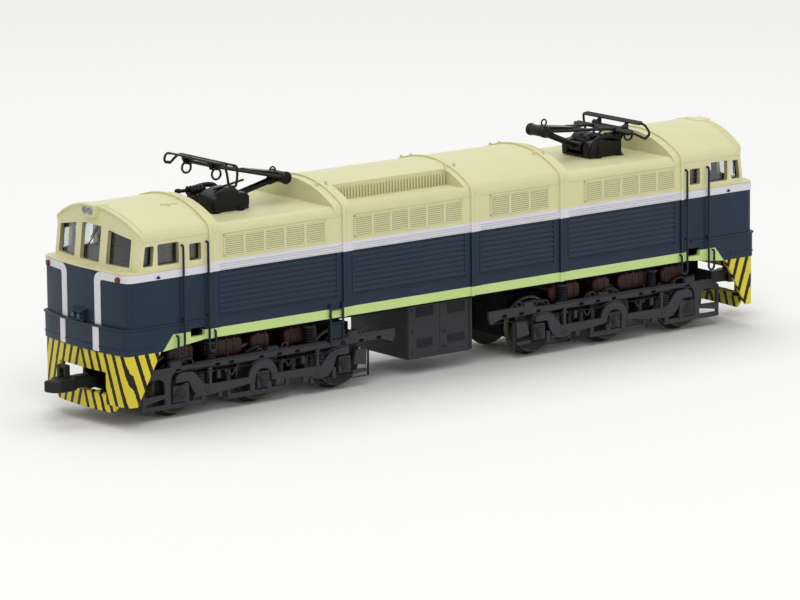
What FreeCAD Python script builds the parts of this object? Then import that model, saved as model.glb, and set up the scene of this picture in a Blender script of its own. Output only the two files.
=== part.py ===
import FreeCAD, Part
import math
import os
import Sketcher
from FreeCAD import Placement, Rotation, Vector

# Electric locomotive, HO model (1:87). X runs along the locomotive, Y across it, Z up.
# Z = 0 is the lowest point of the wheel flanges, X = 0 and Y = 0 the middle of the body.
# End 1 is at -X. Whatever stands at both ends is made once in end 1's place and turned
# half a turn about Z for end 2.

doc = FreeCAD.newDocument("locomotive")
sheet = doc.addObject("Spreadsheet::Sheet", "sizes")

# alias, value in millimetres (angles in degrees), what it is
sheetRows = [
    ("body_length", 189.8, "over the two noses"),
    ("body_width", 33.6, "over the side walls"),
    ("wall", 1.2, "thickness of the shell's walls"),
    ("wheel_room", 2.4, "from the wheels' tops to the chassis plate"),
    ("plate_thickness", 1.4, "chassis plate"),
    ("plate_setback", 6.9, "chassis plate's end behind the nose"),
    ("sill_height", 1.8, "lower edge of the hood's sides above the plate's underside"),
    ("belt_height", 17.1, "lower edge of the light belt above the plate's underside"),
    ("belt_width", 2.3, "light belt along the side"),
    ("side_height", 26.3, "where the side turns into the roof, above the plate's underside"),
    ("roof_rise", 6.5, "roof arch above the sides"),
    ("roof_shoulder", 2.5, "radius between side and roof arch"),
    ("deck_rise", 1.5, "sunk roof deck above the sides' upper ends"),
    ("deck_round", 0.4, "how far the sunk deck's rounded edge reaches below the sides' upper ends"),
    ("cab_length", 24.4, "from the nose to the joint with the hood"),
    ("outer_section", 38.0, "length of hood sections 1 and 4"),
    ("centre_joint", 5.4, "joint between hood sections 2 and 3"),
    ("deck_strip", 2.7, "full-arch strip at each end of a pantograph deck"),
    ("well_start", 2.5, "side wells' end from the joint of sections 1 and 2"),
    ("well_end", 2.0, "side wells' other end from the centre joint"),
    ("well_inner", 9.0, "slatted wall of a well, from the middle"),
    ("slat_pitch", 0.87, "between neighbouring slats"),
    ("ring_width", 0.9, "joint ring along the body"),
    ("ring_proud", 0.4, "joint ring above the shell"),
    ("panel_proud", 0.3, "grille and side panels above the wall"),
    ("grille_gap", 0.9, "grilles above the belt"),
    ("grille_height", 4.9, "grilles"),
    ("flute_height", 6.5, "lower edge of the fluted panels above the plate's underside"),
    ("cab_drop", 1.4, "cab's lower edge below the hood's lower edge"),
    ("ledge_height", 19.3, "top of the nose above the plate's underside"),
    ("nose_depth", 3.2, "rounded part of the nose"),
    ("nose_corner", 1.9, "corner radius of the nose"),
    ("apron_height", 6.6, "top of the nose's thicker lower part above the plate's underside"),
    ("apron_proud", 0.7, "lower part in front of the upper part"),
    ("screen_setback", 2.4, "windscreen wall behind the nose at the ledge"),
    ("screen_side_setback", 1.4, "windscreen wall behind the nose at its sides"),
    ("screen_corner", 3.0, "corner radius of the windscreen wall"),
    ("screen_lean", 1.6, "windscreen wall's lean up to the roof"),
    ("cab_roof_drop", 0.1, "cab's sides end lower than the hood's"),
    ("cab_shoulder", 2.6, "radius between cab side and roof"),
    ("glass_thickness", 0.5, "cab's window insert"),
    ("window_corner", 0.4, "corner radius of the windows"),
    ("pilot_low", 3.6, "lower edge of the pilot above the floor"),
    ("pilot_wall", 1.0, "thickness of the pilot"),
    ("pilot_length", 10.5, "pilot's sides at the top"),
    ("pilot_toe", 4.5, "pilot's sides at the bottom"),
    ("pilot_gap_half", 9.8, "half width of the coupler opening"),
    ("pilot_gap_height", 5.6, "height of the coupler opening"),
    ("truck_setback", 42.0, "truck centre behind the nose"),
    ("axle_spacing", 23.4, "between neighbouring axles of a truck"),
    ("tread_radius", 6.4, "wheel tread"),
    ("flange_depth", 0.9, "wheel flange beyond the tread"),
    ("wheel_inner", 7.25, "inner face of a wheel, from the middle"),
    ("wheel_width", 2.8, "wheel with its flange"),
    ("axle_radius", 1.0, "axle between the wheels"),
    ("running_gap", 0.06, "radial play of pins and axles"),
    ("side_gap", 0.7, "between the wheels and what stands beside them"),
    ("frame_plate", 1.3, "thickness of a side frame's plate"),
    ("pivot_pin", 2.0, "radius of a truck's pivot pin"),
    ("bearing", 4.0, "radius of a truck's bearing pad"),
    ("box_half_length", 9.6, "equipment box, half its length"),
    ("box_setback", 5.8, "equipment box inside the body's side"),
    ("box_low", 4.2, "underside of the equipment box above the floor"),
    ("coupler_setback", 7.9, "coupler pin behind the nose"),
    ("coupler_reach", 10.0, "coupler's front before the nose"),
    ("coupler_height", 9.7, "middle of the coupler's shank above the floor"),
    ("shank_half", 1.5, "half height of the coupler's shank"),
    ("coupler_pin", 0.7, "radius of the coupler's pin"),
    ("foot_place", 19.0, "pantograph foot pin from the joint of its section"),
    ("foot_height", 2.5, "pantograph foot pin above the deck"),
    ("lower_arm", 13.4, "pantograph lower arm, pin to pin"),
    ("upper_arm", 22.9, "pantograph upper arm, pin to pin"),
    ("lower_angle_1", 12.6, "lower arm above the horizontal, pantograph 1"),
    ("upper_angle_1", 13.9, "upper arm above the horizontal, pantograph 1"),
    ("lower_angle_2", 22.9, "lower arm above the horizontal, pantograph 2"),
    ("upper_angle_2", -3.6, "upper arm above the horizontal, pantograph 2"),
    ("arm_pin", 0.5, "radius of the pantograph's pins"),
    ("head_half", 10.4, "half width of the collector strips"),
    ("handrail_radius", 0.25, "handrail wire"),
    ("handrail_gap", 0.9, "handrail's middle off the wall"),
]

for index, (alias, number, note) in enumerate(sheetRows):
    row = str(index + 1)
    sheet.set("A" + row, alias)
    sheet.set("B" + row, str(number))
    sheet.set("C" + row, note)
    sheet.setAlias("B" + row, alias)
doc.recompute()


class Size:
    # a size with its value and with the sheet formula that gives it

    def __init__(self, text, value):
        self.text = text
        self.value = value

    def __add__(self, other):
        other = asSize(other)
        return Size("(%s + %s)" % (self.text, other.text), self.value + other.value)

    def __sub__(self, other):
        other = asSize(other)
        return Size("(%s - %s)" % (self.text, other.text), self.value - other.value)

    def __mul__(self, other):
        other = asSize(other)
        return Size("(%s * %s)" % (self.text, other.text), self.value * other.value)

    def __truediv__(self, other):
        other = asSize(other)
        return Size("(%s / %s)" % (self.text, other.text), self.value / other.value)

    def __neg__(self):
        return Size("(0 - %s)" % self.text, -self.value)

    __radd__ = __add__
    __rmul__ = __mul__


def asSize(thing):
    if isinstance(thing, Size):
        return thing
    return Size("(%.6f)" % thing, float(thing))


def cell(alias):
    return Size("sizes." + alias, float(sheet.get(alias)))


def value(alias):
    return float(sheet.get(alias))


def bind(thing, path, size):
    thing.setExpression(path, asSize(size).text)


# places that several sub-parts share
halfWidth = cell("body_width") / 2
wall = cell("wall")
noseFront = cell("body_length") / 2
cabJoint = noseFront - cell("cab_length")
innerJoint = cabJoint - cell("outer_section")
flangeRadius = cell("tread_radius") + cell("flange_depth")
axleHeight = flangeRadius
wheelTop = flangeRadius * 2
plateLow = wheelTop + cell("wheel_room")
plateHigh = plateLow + cell("plate_thickness")
sillLow = plateLow + cell("sill_height")
cabLow = sillLow - cell("cab_drop")
beltLow = plateLow + cell("belt_height")
beltHigh = beltLow + cell("belt_width")
sideTop = plateLow + cell("side_height")
roofTop = sideTop + cell("roof_rise")
deckTop = sideTop + cell("deck_rise")
ledge = plateLow + cell("ledge_height")
apronTop = plateLow + cell("apron_height")
noseSide = noseFront - cell("nose_depth")
truckPivot = noseFront - cell("truck_setback")
gearcaseHalf = cell("wheel_inner") - cell("side_gap")
frameInner = cell("wheel_inner") + cell("wheel_width") + cell("side_gap")
frameOuter = frameInner + cell("frame_plate")
couplerPivot = noseFront - cell("coupler_setback")
couplerTip = noseFront + cell("coupler_reach")
footPlace = innerJoint + cell("foot_place")
footHeight = deckTop + cell("foot_height")
turned = Placement(Vector(0, 0, 0), Rotation(Vector(0, 0, 1), 180))
asMade = Placement()
nodes = []


def keep(thing, label, placement=asMade):
    thing.Label = label
    thing.Placement = placement.multiply(thing.Placement)
    nodes.append(thing)
    return thing


# ---- sketches and the features made from them

def newBody(name):
    body = doc.addObject("PartDesign::Body", name)
    if hasattr(body, "AllowCompound"):
        body.AllowCompound = True
    return body


def newSketch(body, role, offset=0.0):
    sketch = body.newObject("Sketcher::SketchObject", "Sketch")
    plane = [feature for feature in body.Origin.OriginFeatures if feature.Role == role][0]
    sketch.AttachmentSupport = [(plane, "")]
    sketch.MapMode = "FlatFace"
    bind(sketch, "AttachmentOffset.Base.z", offset)
    return sketch


def arcBetween(start, end, radius):
    # the short arc from start to end, turning left for a positive radius
    chord = end - start
    half = chord.Length / 2
    side = Vector(-chord.y, chord.x, 0).normalize()
    if radius < 0:
        side = side.negative()
    rise = math.sqrt(max(radius * radius - half * half, 0))
    centre = (start + end) * 0.5 + side * rise
    middle = centre - side * abs(radius)
    return Part.Arc(start, middle, end)


def outline(sketch, corners):
    # a closed outline; a corner is (u, v) or (u, v, radius of the arc that leaves it)
    first = sketch.GeometryCount
    count = len(corners)
    points = [Vector(asSize(c[0]).value, asSize(c[1]).value, 0) for c in corners]
    for index, corner in enumerate(corners):
        start = points[index]
        end = points[(index + 1) % count]
        if len(corner) == 3:
            sketch.addGeometry(arcBetween(start, end, asSize(corner[2]).value), False)
        else:
            sketch.addGeometry(Part.LineSegment(start, end), False)
    for index, corner in enumerate(corners):
        geometry = first + index
        previous = first + (index - 1) % count
        turnsRight = len(corner) == 3 and asSize(corner[2]).value < 0
        beforeRight = len(corners[index - 1]) == 3 and asSize(corners[index - 1][2]).value < 0
        ownEnd = 2 if turnsRight else 1
        previousEnd = 1 if beforeRight else 2
        sketch.addConstraint(Sketcher.Constraint("Coincident", geometry, ownEnd, previous, previousEnd))
        for kind, amount in (("DistanceX", corner[0]), ("DistanceY", corner[1])):
            amount = asSize(amount)
            made = sketch.addConstraint(
                Sketcher.Constraint(kind, -1, 1, geometry, ownEnd, amount.value))
            bind(sketch, "Constraints[%d]" % made, amount)
        if len(corner) == 3:
            radius = asSize(corner[2])
            size = radius if radius.value > 0 else -radius
            made = sketch.addConstraint(Sketcher.Constraint("Radius", geometry, size.value))
            bind(sketch, "Constraints[%d]" % made, size)


def rectangle(sketch, low, high):
    outline(sketch, [(low[0], low[1]), (high[0], low[1]), (high[0], high[1]), (low[0], high[1])])


def disc(sketch, centre, radius):
    radius = asSize(radius)
    spot = [asSize(centre[0]), asSize(centre[1])]
    circle = Part.Circle(Vector(spot[0].value, spot[1].value, 0), Vector(0, 0, 1), radius.value)
    made = sketch.addGeometry(circle, False)
    for kind, amount in (("DistanceX", spot[0]), ("DistanceY", spot[1])):
        number = sketch.addConstraint(Sketcher.Constraint(kind, -1, 1, made, 3, amount.value))
        bind(sketch, "Constraints[%d]" % number, amount)
    number = sketch.addConstraint(Sketcher.Constraint("Radius", made, radius.value))
    bind(sketch, "Constraints[%d]" % number, radius)


def pad(body, sketch, length, reverse=False):
    feature = body.newObject("PartDesign::Pad", "Pad")
    feature.Profile = sketch
    bind(feature, "Length", length)
    feature.Reversed = reverse
    sketch.Visibility = False
    return feature


def pocket(body, sketch, length, reverse=False):
    doc.recompute()
    before = body.Shape.Volume
    feature = body.newObject("PartDesign::Pocket", "Pocket")
    feature.Profile = sketch
    bind(feature, "Length", length)
    feature.Reversed = reverse
    doc.recompute()
    if body.Shape.Volume > before - 0.001:
        raise RuntimeError("pocket in %s cuts nothing" % body.Name)
    return feature


# ---- primitives bound to the sheet

def boxBetween(name, low, high):
    thing = doc.addObject("Part::Box", name)
    for axis, first, last in zip("xyz", low, high):
        bind(thing, "Placement.Base." + axis, first)
    for side, first, last in zip(("Length", "Width", "Height"), low, high):
        bind(thing, side, asSize(last) - first)
    return thing


def rod(name, start, length, radius, axis):
    # a cylinder from start along the axis "x", "y" or "z"
    thing = doc.addObject("Part::Cylinder", name)
    turns = {"x": Rotation(Vector(0, 1, 0), 90), "y": Rotation(Vector(1, 0, 0), -90), "z": Rotation()}
    thing.Placement = Placement(Vector(0, 0, 0), turns[axis])
    for letter, amount in zip("xyz", start):
        bind(thing, "Placement.Base." + letter, amount)
    bind(thing, "Radius", radius)
    bind(thing, "Height", length)
    return thing


def tubeBetween(name, start, end, radius):
    # a round bar whose ends are worked out from the sheet
    thing = doc.addObject("Part::Cylinder", name)
    along = end - start
    thing.Height = along.Length
    bind(thing, "Radius", radius)
    thing.Placement = Placement(start, Rotation(Vector(0, 0, 1), along))
    return thing


def fused(name, pieces):
    thing = doc.addObject("Part::MultiFuse", name)
    thing.Shapes = pieces
    return thing


def cutBy(name, base, tool):
    thing = doc.addObject("Part::Cut", name)
    thing.Base = base
    thing.Tool = tool
    return thing


# ---- the rounded arch that the roof's section and the nose's plan both follow

def archCorners(half, spring, top, corner):
    # from (half, spring) over the top to (-half, spring): corner arc, wide arc, corner arc
    reach = half - corner
    rise = top - spring
    radius = (reach * reach + rise * rise - corner * corner) / ((rise - corner) * 2)
    scale = radius / (radius - corner)
    across = reach * scale
    up = top - radius + (spring - top + radius) * scale
    return [(half, spring, corner), (across, up, radius), (-across, up, corner), (-half, spring)]


def archWire(half, spring, top, corner, low, place):
    # the same arch closed by straight sides down to low, as a wire; place turns (u, v) into a point
    corners = archCorners(asSize(half), asSize(spring), asSize(top), asSize(corner))
    corners = [(asSize(half), asSize(low))] + corners + [(-asSize(half), asSize(low))]
    edges = []
    for index, point in enumerate(corners):
        following = corners[(index + 1) % len(corners)]
        start = Vector(point[0].value, point[1].value, 0)
        end = Vector(following[0].value, following[1].value, 0)
        if len(point) == 3:
            arc = arcBetween(start, end, point[2].value)
            middle = arc.value((arc.FirstParameter + arc.LastParameter) / 2)
            edges.append(Part.Arc(place(start), place(middle), place(end)).toShape())
        else:
            edges.append(Part.LineSegment(place(start), place(end)).toShape())
    return Part.Wire(edges)


def planPlace(z):
    # u runs along +Y, v towards -X: the nose's plan at height z
    return lambda point: Vector(-point.y, point.x, z)


def sectionPlace(x):
    # u runs along +Y, v up: a cross section at x
    return lambda point: Vector(x, point.x, point.y)


def slab(wire, along):
    return Part.Face(wire).extrude(along)


# ---- body: hood sections

def hoodSection(label, start, end, kind):
    # an upside-down U: two side walls and the roof
    body = newBody(label)
    inside = halfWidth - wall
    ceiling = deckTop - wall
    inner = [(-inside, sillLow), (-inside, ceiling), (inside, ceiling), (inside, sillLow)]
    arch = archCorners(halfWidth, sideTop, roofTop, cell("roof_shoulder"))
    sketch = newSketch(body, "YZ_Plane", start)
    if kind == "deck":
        bend = cell("deck_rise") + cell("deck_round")
        top = [(halfWidth, deckTop - bend, bend), (halfWidth - bend, deckTop),
               (-halfWidth + bend, deckTop, bend), (-halfWidth, deckTop - bend)]
    else:
        top = arch
    outline(sketch, [(halfWidth, sillLow)] + top + [(-halfWidth, sillLow)] + inner)
    pad(body, sketch, end - start)
    if kind == "deck":
        foot = sideTop - cell("deck_round") * 2
        for place in (start, end - cell("deck_strip")):
            strip = newSketch(body, "YZ_Plane", place)
            outline(strip, [(halfWidth, foot), *arch, (-halfWidth, foot), (-inside, ceiling),
                            (inside, ceiling)])
            pad(body, strip, cell("deck_strip"))
    if kind == "wells":
        for side in (1, -1):
            well = newSketch(body, "XY_Plane", deckTop)
            near = cell("well_inner") * side
            far = (halfWidth + 1) * side
            low, high = (near, far) if side > 0 else (far, near)
            rectangle(well, (start + cell("well_start"), low), (end - cell("well_end"), high))
            pocket(body, well, cell("roof_rise") * 2, reverse=True)
    return keep(body, label)


# number, kind of roof, and how far grille and fluted panel stay from the section's two ends
sectionTable = [
    {"number": 1, "kind": "deck", "grille": (3.9, 5.2), "flutes": (2.1, 1.9)},
    {"number": 2, "kind": "wells", "grille": (3.2, 2.8), "flutes": (2.1, 2.0)},
    {"number": 3, "kind": "plain", "grille": (5.7, 3.7), "flutes": (2.0, 2.1)},
    {"number": 4, "kind": "deck", "grille": (7.4, 2.2), "flutes": (1.9, 2.1)},
]
joints = [-cabJoint, -innerJoint, cell("centre_joint"), innerJoint, cabJoint]


def hoodSections():
    for row, start, end in zip(sectionTable, joints, joints[1:]):
        hoodSection("hood_section_%d" % row["number"], start, end, row["kind"])


def jointRings():
    # raised rings over the roof and down both sides at the five joints
    body = newBody("joint_rings")
    proud = cell("ring_proud")
    shoulder = cell("roof_shoulder")
    outer = archCorners(halfWidth + proud, sideTop, roofTop + proud, shoulder + proud)
    inner = archCorners(halfWidth, sideTop, roofTop, shoulder)
    # the inner line runs back the other way, so each arc belongs to the corner after it
    inward = []
    for index in range(len(inner) - 1, 0, -1):
        inward.append((inner[index][0], inner[index][1], -inner[index - 1][2]))
    inward.append((inner[0][0], inner[0][1]))
    for joint in joints:
        sketch = newSketch(body, "YZ_Plane", joint - cell("ring_width") / 2)
        outline(sketch, [(halfWidth + proud, sillLow), *outer, (-halfWidth - proud, sillLow),
                         (-halfWidth, sillLow), *inward, (halfWidth, sillLow)])
        pad(body, sketch, cell("ring_width"))
    keep(body, "joint_rings")


def sidePanels(label, kind, low, high):
    # thin raised panels, one on each side of each hood section
    body = newBody(label)
    for row, start, end in zip(sectionTable, joints, joints[1:]):
        first, last = row[kind]
        for side in (1, -1):
            sketch = newSketch(body, "XZ_Plane", halfWidth * -side)
            rectangle(sketch, (start + first, low), (end - last, high))
            pad(body, sketch, cell("panel_proud"), reverse=side > 0)
    keep(body, label)


# ---- body: cabs

def nosePlan(half, front, side, z, corner="nose_corner"):
    return archWire(half, side, front, value(corner), cabJoint.value, planPlace(z))


def cabSolid(inset):
    # the cab's outside for inset 0, its hollow for a positive inset
    half = halfWidth.value - inset
    side = noseSide.value - inset
    front = noseFront.value - inset
    low = cabLow.value - (1 if inset else 0)
    top = ledge.value - inset
    nose = slab(nosePlan(half, front, side, low), Vector(0, 0, top - low))
    proud = value("apron_proud")
    apron = slab(nosePlan(half, front + proud, side + proud, low),
                 Vector(0, 0, apronTop.value - inset - low))
    below = top - 3
    above = roofTop.value + 1
    slope = value("screen_lean") / (roofTop.value - ledge.value)
    wires = []
    for z in (below, above):
        lean = slope * (z - ledge.value)
        wires.append(nosePlan(half, front - value("screen_setback") - lean,
                              side - value("screen_side_setback") - lean, z, "screen_corner"))
    tower = Part.makeLoft(wires, True, True)
    roof = archWire(half, sideTop.value - value("cab_roof_drop"), roofTop.value - inset,
                    value("cab_shoulder"), below - 1, sectionPlace(-front - 3))
    tower = tower.common(slab(roof, Vector(front + 3 - cabJoint.value, 0, 0)))
    return nose.fuse([apron, tower]).removeSplitter()


# side windows: corners as distance from the cab's joint and height above the ledge
sideWindows = [
    {"name": "quarter", "corners": [(18.7, 1.1), (16.0, 1.1), (15.5, 5.7), (18.0, 5.7)]},
    {"name": "middle", "corners": [(14.6, 1.0), (8.7, 1.0), (8.7, 5.9), (14.6, 5.9)]},
    {"name": "door", "corners": [(5.8, 1.1), (2.5, 1.1), (2.5, 5.0), (5.8, 5.0)]},
]

# windscreens: corners as distance from the middle, and height above the ledge
centreWindow = [(-3.8, 0.8), (3.8, 0.8), (3.8, 9.1), (-3.8, 9.1)]
outerWindow = [(6.3, 0.8), (14.1, 0.8), (14.1, 7.2), (6.3, 8.6)]


def roundedPrism(points, along):
    edges = [Part.LineSegment(points[i - 1], points[i]).toShape() for i in range(len(points))]
    solid = Part.Face(Part.Wire(edges)).extrude(along)
    direction = Vector(along).normalize()
    upright = []
    for edge in solid.Edges:
        if abs(edge.tangentAt(edge.FirstParameter).dot(direction)) > 0.99:
            upright.append(edge)
    return solid.makeFillet(value("window_corner"), upright)


def windowPrisms():
    cutters = []
    outside = halfWidth.value + 1
    depth = wall.value + 3
    for window in sideWindows:
        for side in (1, -1):
            points = [Vector(-cabJoint.value - x, side * (outside - depth), ledge.value + z)
                      for x, z in window["corners"]]
            cutters.append(roundedPrism(points, Vector(0, side * depth, 0)))
    mirrored = [(-y, z) for y, z in outerWindow]
    for window in (centreWindow, outerWindow, mirrored):
        points = [Vector(-noseFront.value - 1, y, ledge.value + z) for y, z in window]
        cutters.append(roundedPrism(points, Vector(value("nose_depth") + 5, 0, 0)))
    return cutters


def cabShell(label, placement):
    solid = cabSolid(0).cut(cabSolid(wall.value))
    solid = solid.cut(windowPrisms())
    thing = doc.addObject("Part::Feature", label)
    thing.Shape = solid.removeSplitter()
    keep(thing, label, placement)


def cabGlazing(label, placement):
    # one clear insert behind all the cab's windows, from just above the ledge to below the roof
    inset = wall.value
    reach = value("cab_length") + 2
    side = value("body_width")
    height = sideTop.value + 2.4 - ledge.value
    band = Part.makeBox(reach, side, height, Vector(-noseFront.value - 1, -side / 2, ledge.value + 0.6))
    insert = cabSolid(inset).cut(cabSolid(inset + value("glass_thickness"))).common(band)
    joint = Part.makeBox(2, side, height + 1, Vector(-cabJoint.value - 1, -side / 2, ledge.value))
    thing = doc.addObject("Part::Feature", label)
    thing.Shape = insert.cut(joint).removeSplitter()
    keep(thing, label, placement)


def outsideOf(name, solid):
    # a plain solid that trims what sits on the body's curved outside
    thing = doc.addObject("Part::Feature", name)
    thing.Shape = solid
    return thing


def roofLamps(label, placement):
    # a box at the top of the windscreen wall with two lenses in it, trimmed to the wall
    wallFront = -noseFront + cell("screen_setback") + cell("screen_lean")
    low = roofTop - 2.85
    high = roofTop - 0.55
    case = boxBetween(label + "_case", (wallFront - 0.9, -2.15, low), (wallFront + 0.6, 2.15, high))
    middle = (low + high) / 2
    lenses = []
    for side in (1, -1):
        lenses.append(rod(label + "_lens", (wallFront - 1.3, side * 1.05, middle), 1.0, 0.9, "x"))
    solid = fused("roof_lamp_solid", [case] + lenses)
    keep(cutBy(label, solid, outsideOf("cab_outside", cabSolid(0))), label, placement)


def noseLamps(label, placement):
    # a hood low on the nose with two small lamps, and a marker lamp at each end of the belt
    front = -noseFront - cell("apron_proud")
    hood = boxBetween(label + "_hood", (front - 0.7, -2.5, apronTop - 0.8),
                      (front + 0.9, 2.5, apronTop + 2.1))
    pieces = [hood]
    for side in (1, -1):
        pieces.append(rod(label + "_lamp", (front - 1.1, side * 1.15, apronTop + 0.4), 1.2, 1.0, "x"))
        marker = (-noseFront + 0.2, side * (halfWidth - 3.0), beltLow + 0.8)
        pieces.append(rod(label + "_marker", marker, 1.8, 0.7, "x"))
    solid = fused("nose_lamp_solid", pieces)
    keep(cutBy(label, solid, outsideOf("cab_outside", cabSolid(0))), label, placement)


# ---- body: ends

def pilotPlan(inset, back):
    # the nose's plan turned so that it opens towards the middle, at the given inset
    step = cell("apron_proud") - 0.3 - inset
    arch = archCorners(halfWidth - inset, noseSide + step, noseFront + step, cell("nose_corner"))
    points = []
    for point in [(halfWidth - inset, back), *arch, (-halfWidth + inset, back)]:
        points.append((-point[1], point[0]) + tuple(point[2:]))
    return points


def pilot(label, placement):
    # the skirt under the nose, open behind, with the coupler's opening in its front
    body = newBody(label)
    low = cell("pilot_low")
    height = cabLow - low
    back = noseFront - cell("pilot_length")
    sketch = newSketch(body, "XY_Plane", low)
    outline(sketch, pilotPlan(asSize(0), back))
    pad(body, sketch, height)
    hollow = newSketch(body, "XY_Plane", low)
    outline(hollow, pilotPlan(cell("pilot_wall"), back - 1))
    pocket(body, hollow, height, reverse=True)
    slant = newSketch(body, "XZ_Plane", -halfWidth - 1)
    toe = -noseFront + cell("pilot_toe")
    outline(slant, [(toe, low - 1), (toe, low + 1.4), (-back, cabLow), (-back + 2, cabLow),
                    (-back + 2, low - 1)])
    pocket(body, slant, cell("body_width") + 2, reverse=True)
    gap = newSketch(body, "YZ_Plane", -noseFront - 2)
    gapMiddle = cell("coupler_height") + 0.9
    half = cell("pilot_gap_height") / 2
    wide = cell("pilot_gap_half")
    rectangle(gap, (-wide, gapMiddle - half), (wide, gapMiddle + half))
    pocket(body, gap, 8, reverse=True)
    # the skirt's corners end higher than the bar between them
    corner = newSketch(body, "YZ_Plane", -noseFront - 2)
    for near, far in ((12.6, halfWidth + 1), (-halfWidth - 1, -12.6)):
        rectangle(corner, (near, low - 1), (far, low + 1.9))
    pocket(body, corner, 16, reverse=True)
    keep(body, label, placement)


# handrails beside each cab door: distance from the cab's joint
handrailPlaces = (8.0, 1.1)


def handrails(label, placement):
    # upright rails held off the wall by short pegs
    radius = cell("handrail_radius")
    gap = cell("handrail_gap")
    low = cabLow + 0.5
    high = ledge + 4.8
    pieces = []
    for place in handrailPlaces:
        x = -cabJoint - place
        for side in (1, -1):
            middle = (halfWidth + gap) * side
            pieces.append(rod(label + "_rail", (x, middle, low), high - low, radius, "z"))
            start = halfWidth if side > 0 else -halfWidth - gap
            for z in (low + 0.6, (low + high) / 2, high - 0.6):
                pieces.append(rod(label + "_peg", (x, start, z), gap, radius * 0.8, "y"))
    keep(fused(label, pieces), label, placement)


def sideLadders():
    # a short hanging ladder on each side near the joint of sections 1 and 2
    pieces = []
    near = -innerJoint - 4.7
    far = -innerJoint - 0.5
    foot = sillLow - 6.8
    for low, high in ((halfWidth - 1.1, halfWidth - 0.3), (-halfWidth + 0.3, -halfWidth + 1.1)):
        for x in (near, far - 0.6):
            pieces.append(boxBetween("stile", (x, low, foot), (x + 0.6, high, sillLow)))
        for rise in (0.6, 2.8, 5.0):
            pieces.append(boxBetween("rung", (near, low, foot + rise), (far, high, foot + rise + 0.5)))
    keep(fused("side_ladders", pieces), "side_ladders")


# ---- body: chassis

def chassisPlate():
    # the flat floor that the shell sits round, with a hole for each truck's pivot pin
    body = newBody("chassis_plate")
    half = halfWidth - wall
    reach = noseFront - cell("plate_setback")
    sketch = newSketch(body, "XY_Plane", plateLow)
    rectangle(sketch, (-reach, -half), (reach, half))
    pad(body, sketch, cell("plate_thickness"))
    holes = newSketch(body, "XY_Plane", plateLow)
    for side in (1, -1):
        disc(holes, (truckPivot * side, 0), cell("pivot_pin") + cell("running_gap"))
    pocket(body, holes, cell("plate_thickness") + 1, reverse=True)
    keep(body, "chassis_plate")


def ballastBlock():
    # the heavy metal block that holds the motor, as one closed mass, clear of the pivot pins
    half = cell("box_half_length") + 1.4
    reach = cabJoint - 4.5
    block = boxBetween("ballast", (-reach, -half, plateHigh), (reach, half, plateHigh + 15.6))
    rooms = []
    for side in (1, -1):
        middle = truckPivot * side
        room = cell("pivot_pin") + 2.0
        rooms.append(boxBetween("pin_room", (middle - room, -room, plateHigh - 1),
                                (middle + room, room, plateHigh + 3)))
    keep(cutBy("ballast_block", block, fused("pin_rooms", rooms)), "ballast_block")


def equipmentBox():
    # the closed box that hangs under the plate between the trucks
    body = newBody("equipment_box")
    length = cell("box_half_length")
    half = halfWidth - cell("box_setback")
    sketch = newSketch(body, "XY_Plane", cell("box_low"))
    rectangle(sketch, (-length, -half), (length, half))
    pad(body, sketch, plateLow - cell("box_low"))
    keep(body, "equipment_box")


def roofSlats(label, side):
    # upright slats on a thin backing, on the inner wall of a well
    body = newBody(label)
    inner = cell("well_inner")
    backing = 0.3
    depth = 0.9
    height = roofTop - deckTop - 2.2
    start = -innerJoint + cell("well_start") + 0.6
    end = cell("centre_joint") - cell("well_end") - 0.6
    sheetSketch = newSketch(body, "XY_Plane", deckTop)
    near = inner if side > 0 else -inner - backing
    rectangle(sheetSketch, (start, near), (end, near + backing))
    pad(body, sheetSketch, height)
    slat = newSketch(body, "XY_Plane", deckTop)
    near = inner if side > 0 else -inner - depth
    rectangle(slat, (start, near), (start + 0.4, near + depth))
    feature = pad(body, slat, height)
    doc.recompute()
    pattern = body.newObject("PartDesign::LinearPattern", "Slats")
    pattern.Originals = [feature]
    pattern.Direction = (sheetSketch, ["H_Axis"])
    bind(pattern, "Length", end - start - 0.4)
    pattern.Occurrences = int(round((end - start).value / value("slat_pitch")))
    body.Tip = pattern
    keep(body, label)


def roofFittings():
    # lifting eyes beside the inner joint rings, trimmed to the roof
    pieces = []
    height = roofTop - deckTop - 0.4
    for across in (halfWidth / 2, -halfWidth / 2):
        for joint in joints[1:4]:
            for offset in (-1.4, 1.4):
                pieces.append(rod("eye", (joint + offset, across, deckTop), height, 0.35, "z"))
    place = sectionPlace(-cabJoint.value)
    arch = archWire(halfWidth, sideTop, roofTop, cell("roof_shoulder"), sillLow, place)
    roof = outsideOf("hood_outside", slab(arch, Vector(cabJoint.value * 2, 0, 0)))
    keep(cutBy("roof_fittings", fused("eyes", pieces), roof), "roof_fittings")


# ---- couplers

def couplerBox(label, placement):
    # open-fronted box that holds the coupler's pin, hung from the chassis plate
    middle = cell("coupler_height")
    room = cell("shank_half") + 0.1
    plate = 0.7
    low = middle - room - plate
    high = middle + room + plate
    half = 3.9
    front = -couplerPivot - 4.2
    back = -couplerPivot + 2.4
    pieces = [boxBetween("floor", (front, -half, low), (back, half, middle - room)),
              boxBetween("lid", (front, -half, middle + room), (back, half, high)),
              boxBetween("back", (back - plate, -half, low), (back, half, high)),
              boxBetween("post", (-couplerPivot - 0.6, -3.0, high - 0.1), (back, 3.0, plateLow)),
              rod("pin", (-couplerPivot, 0, low), high - low, cell("coupler_pin"), "z")]
    for near in (-half, half - plate):
        pieces.append(boxBetween("cheek", (front, near, low), (back, near + plate, high)))
    keep(fused(label, pieces), label, placement)


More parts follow.
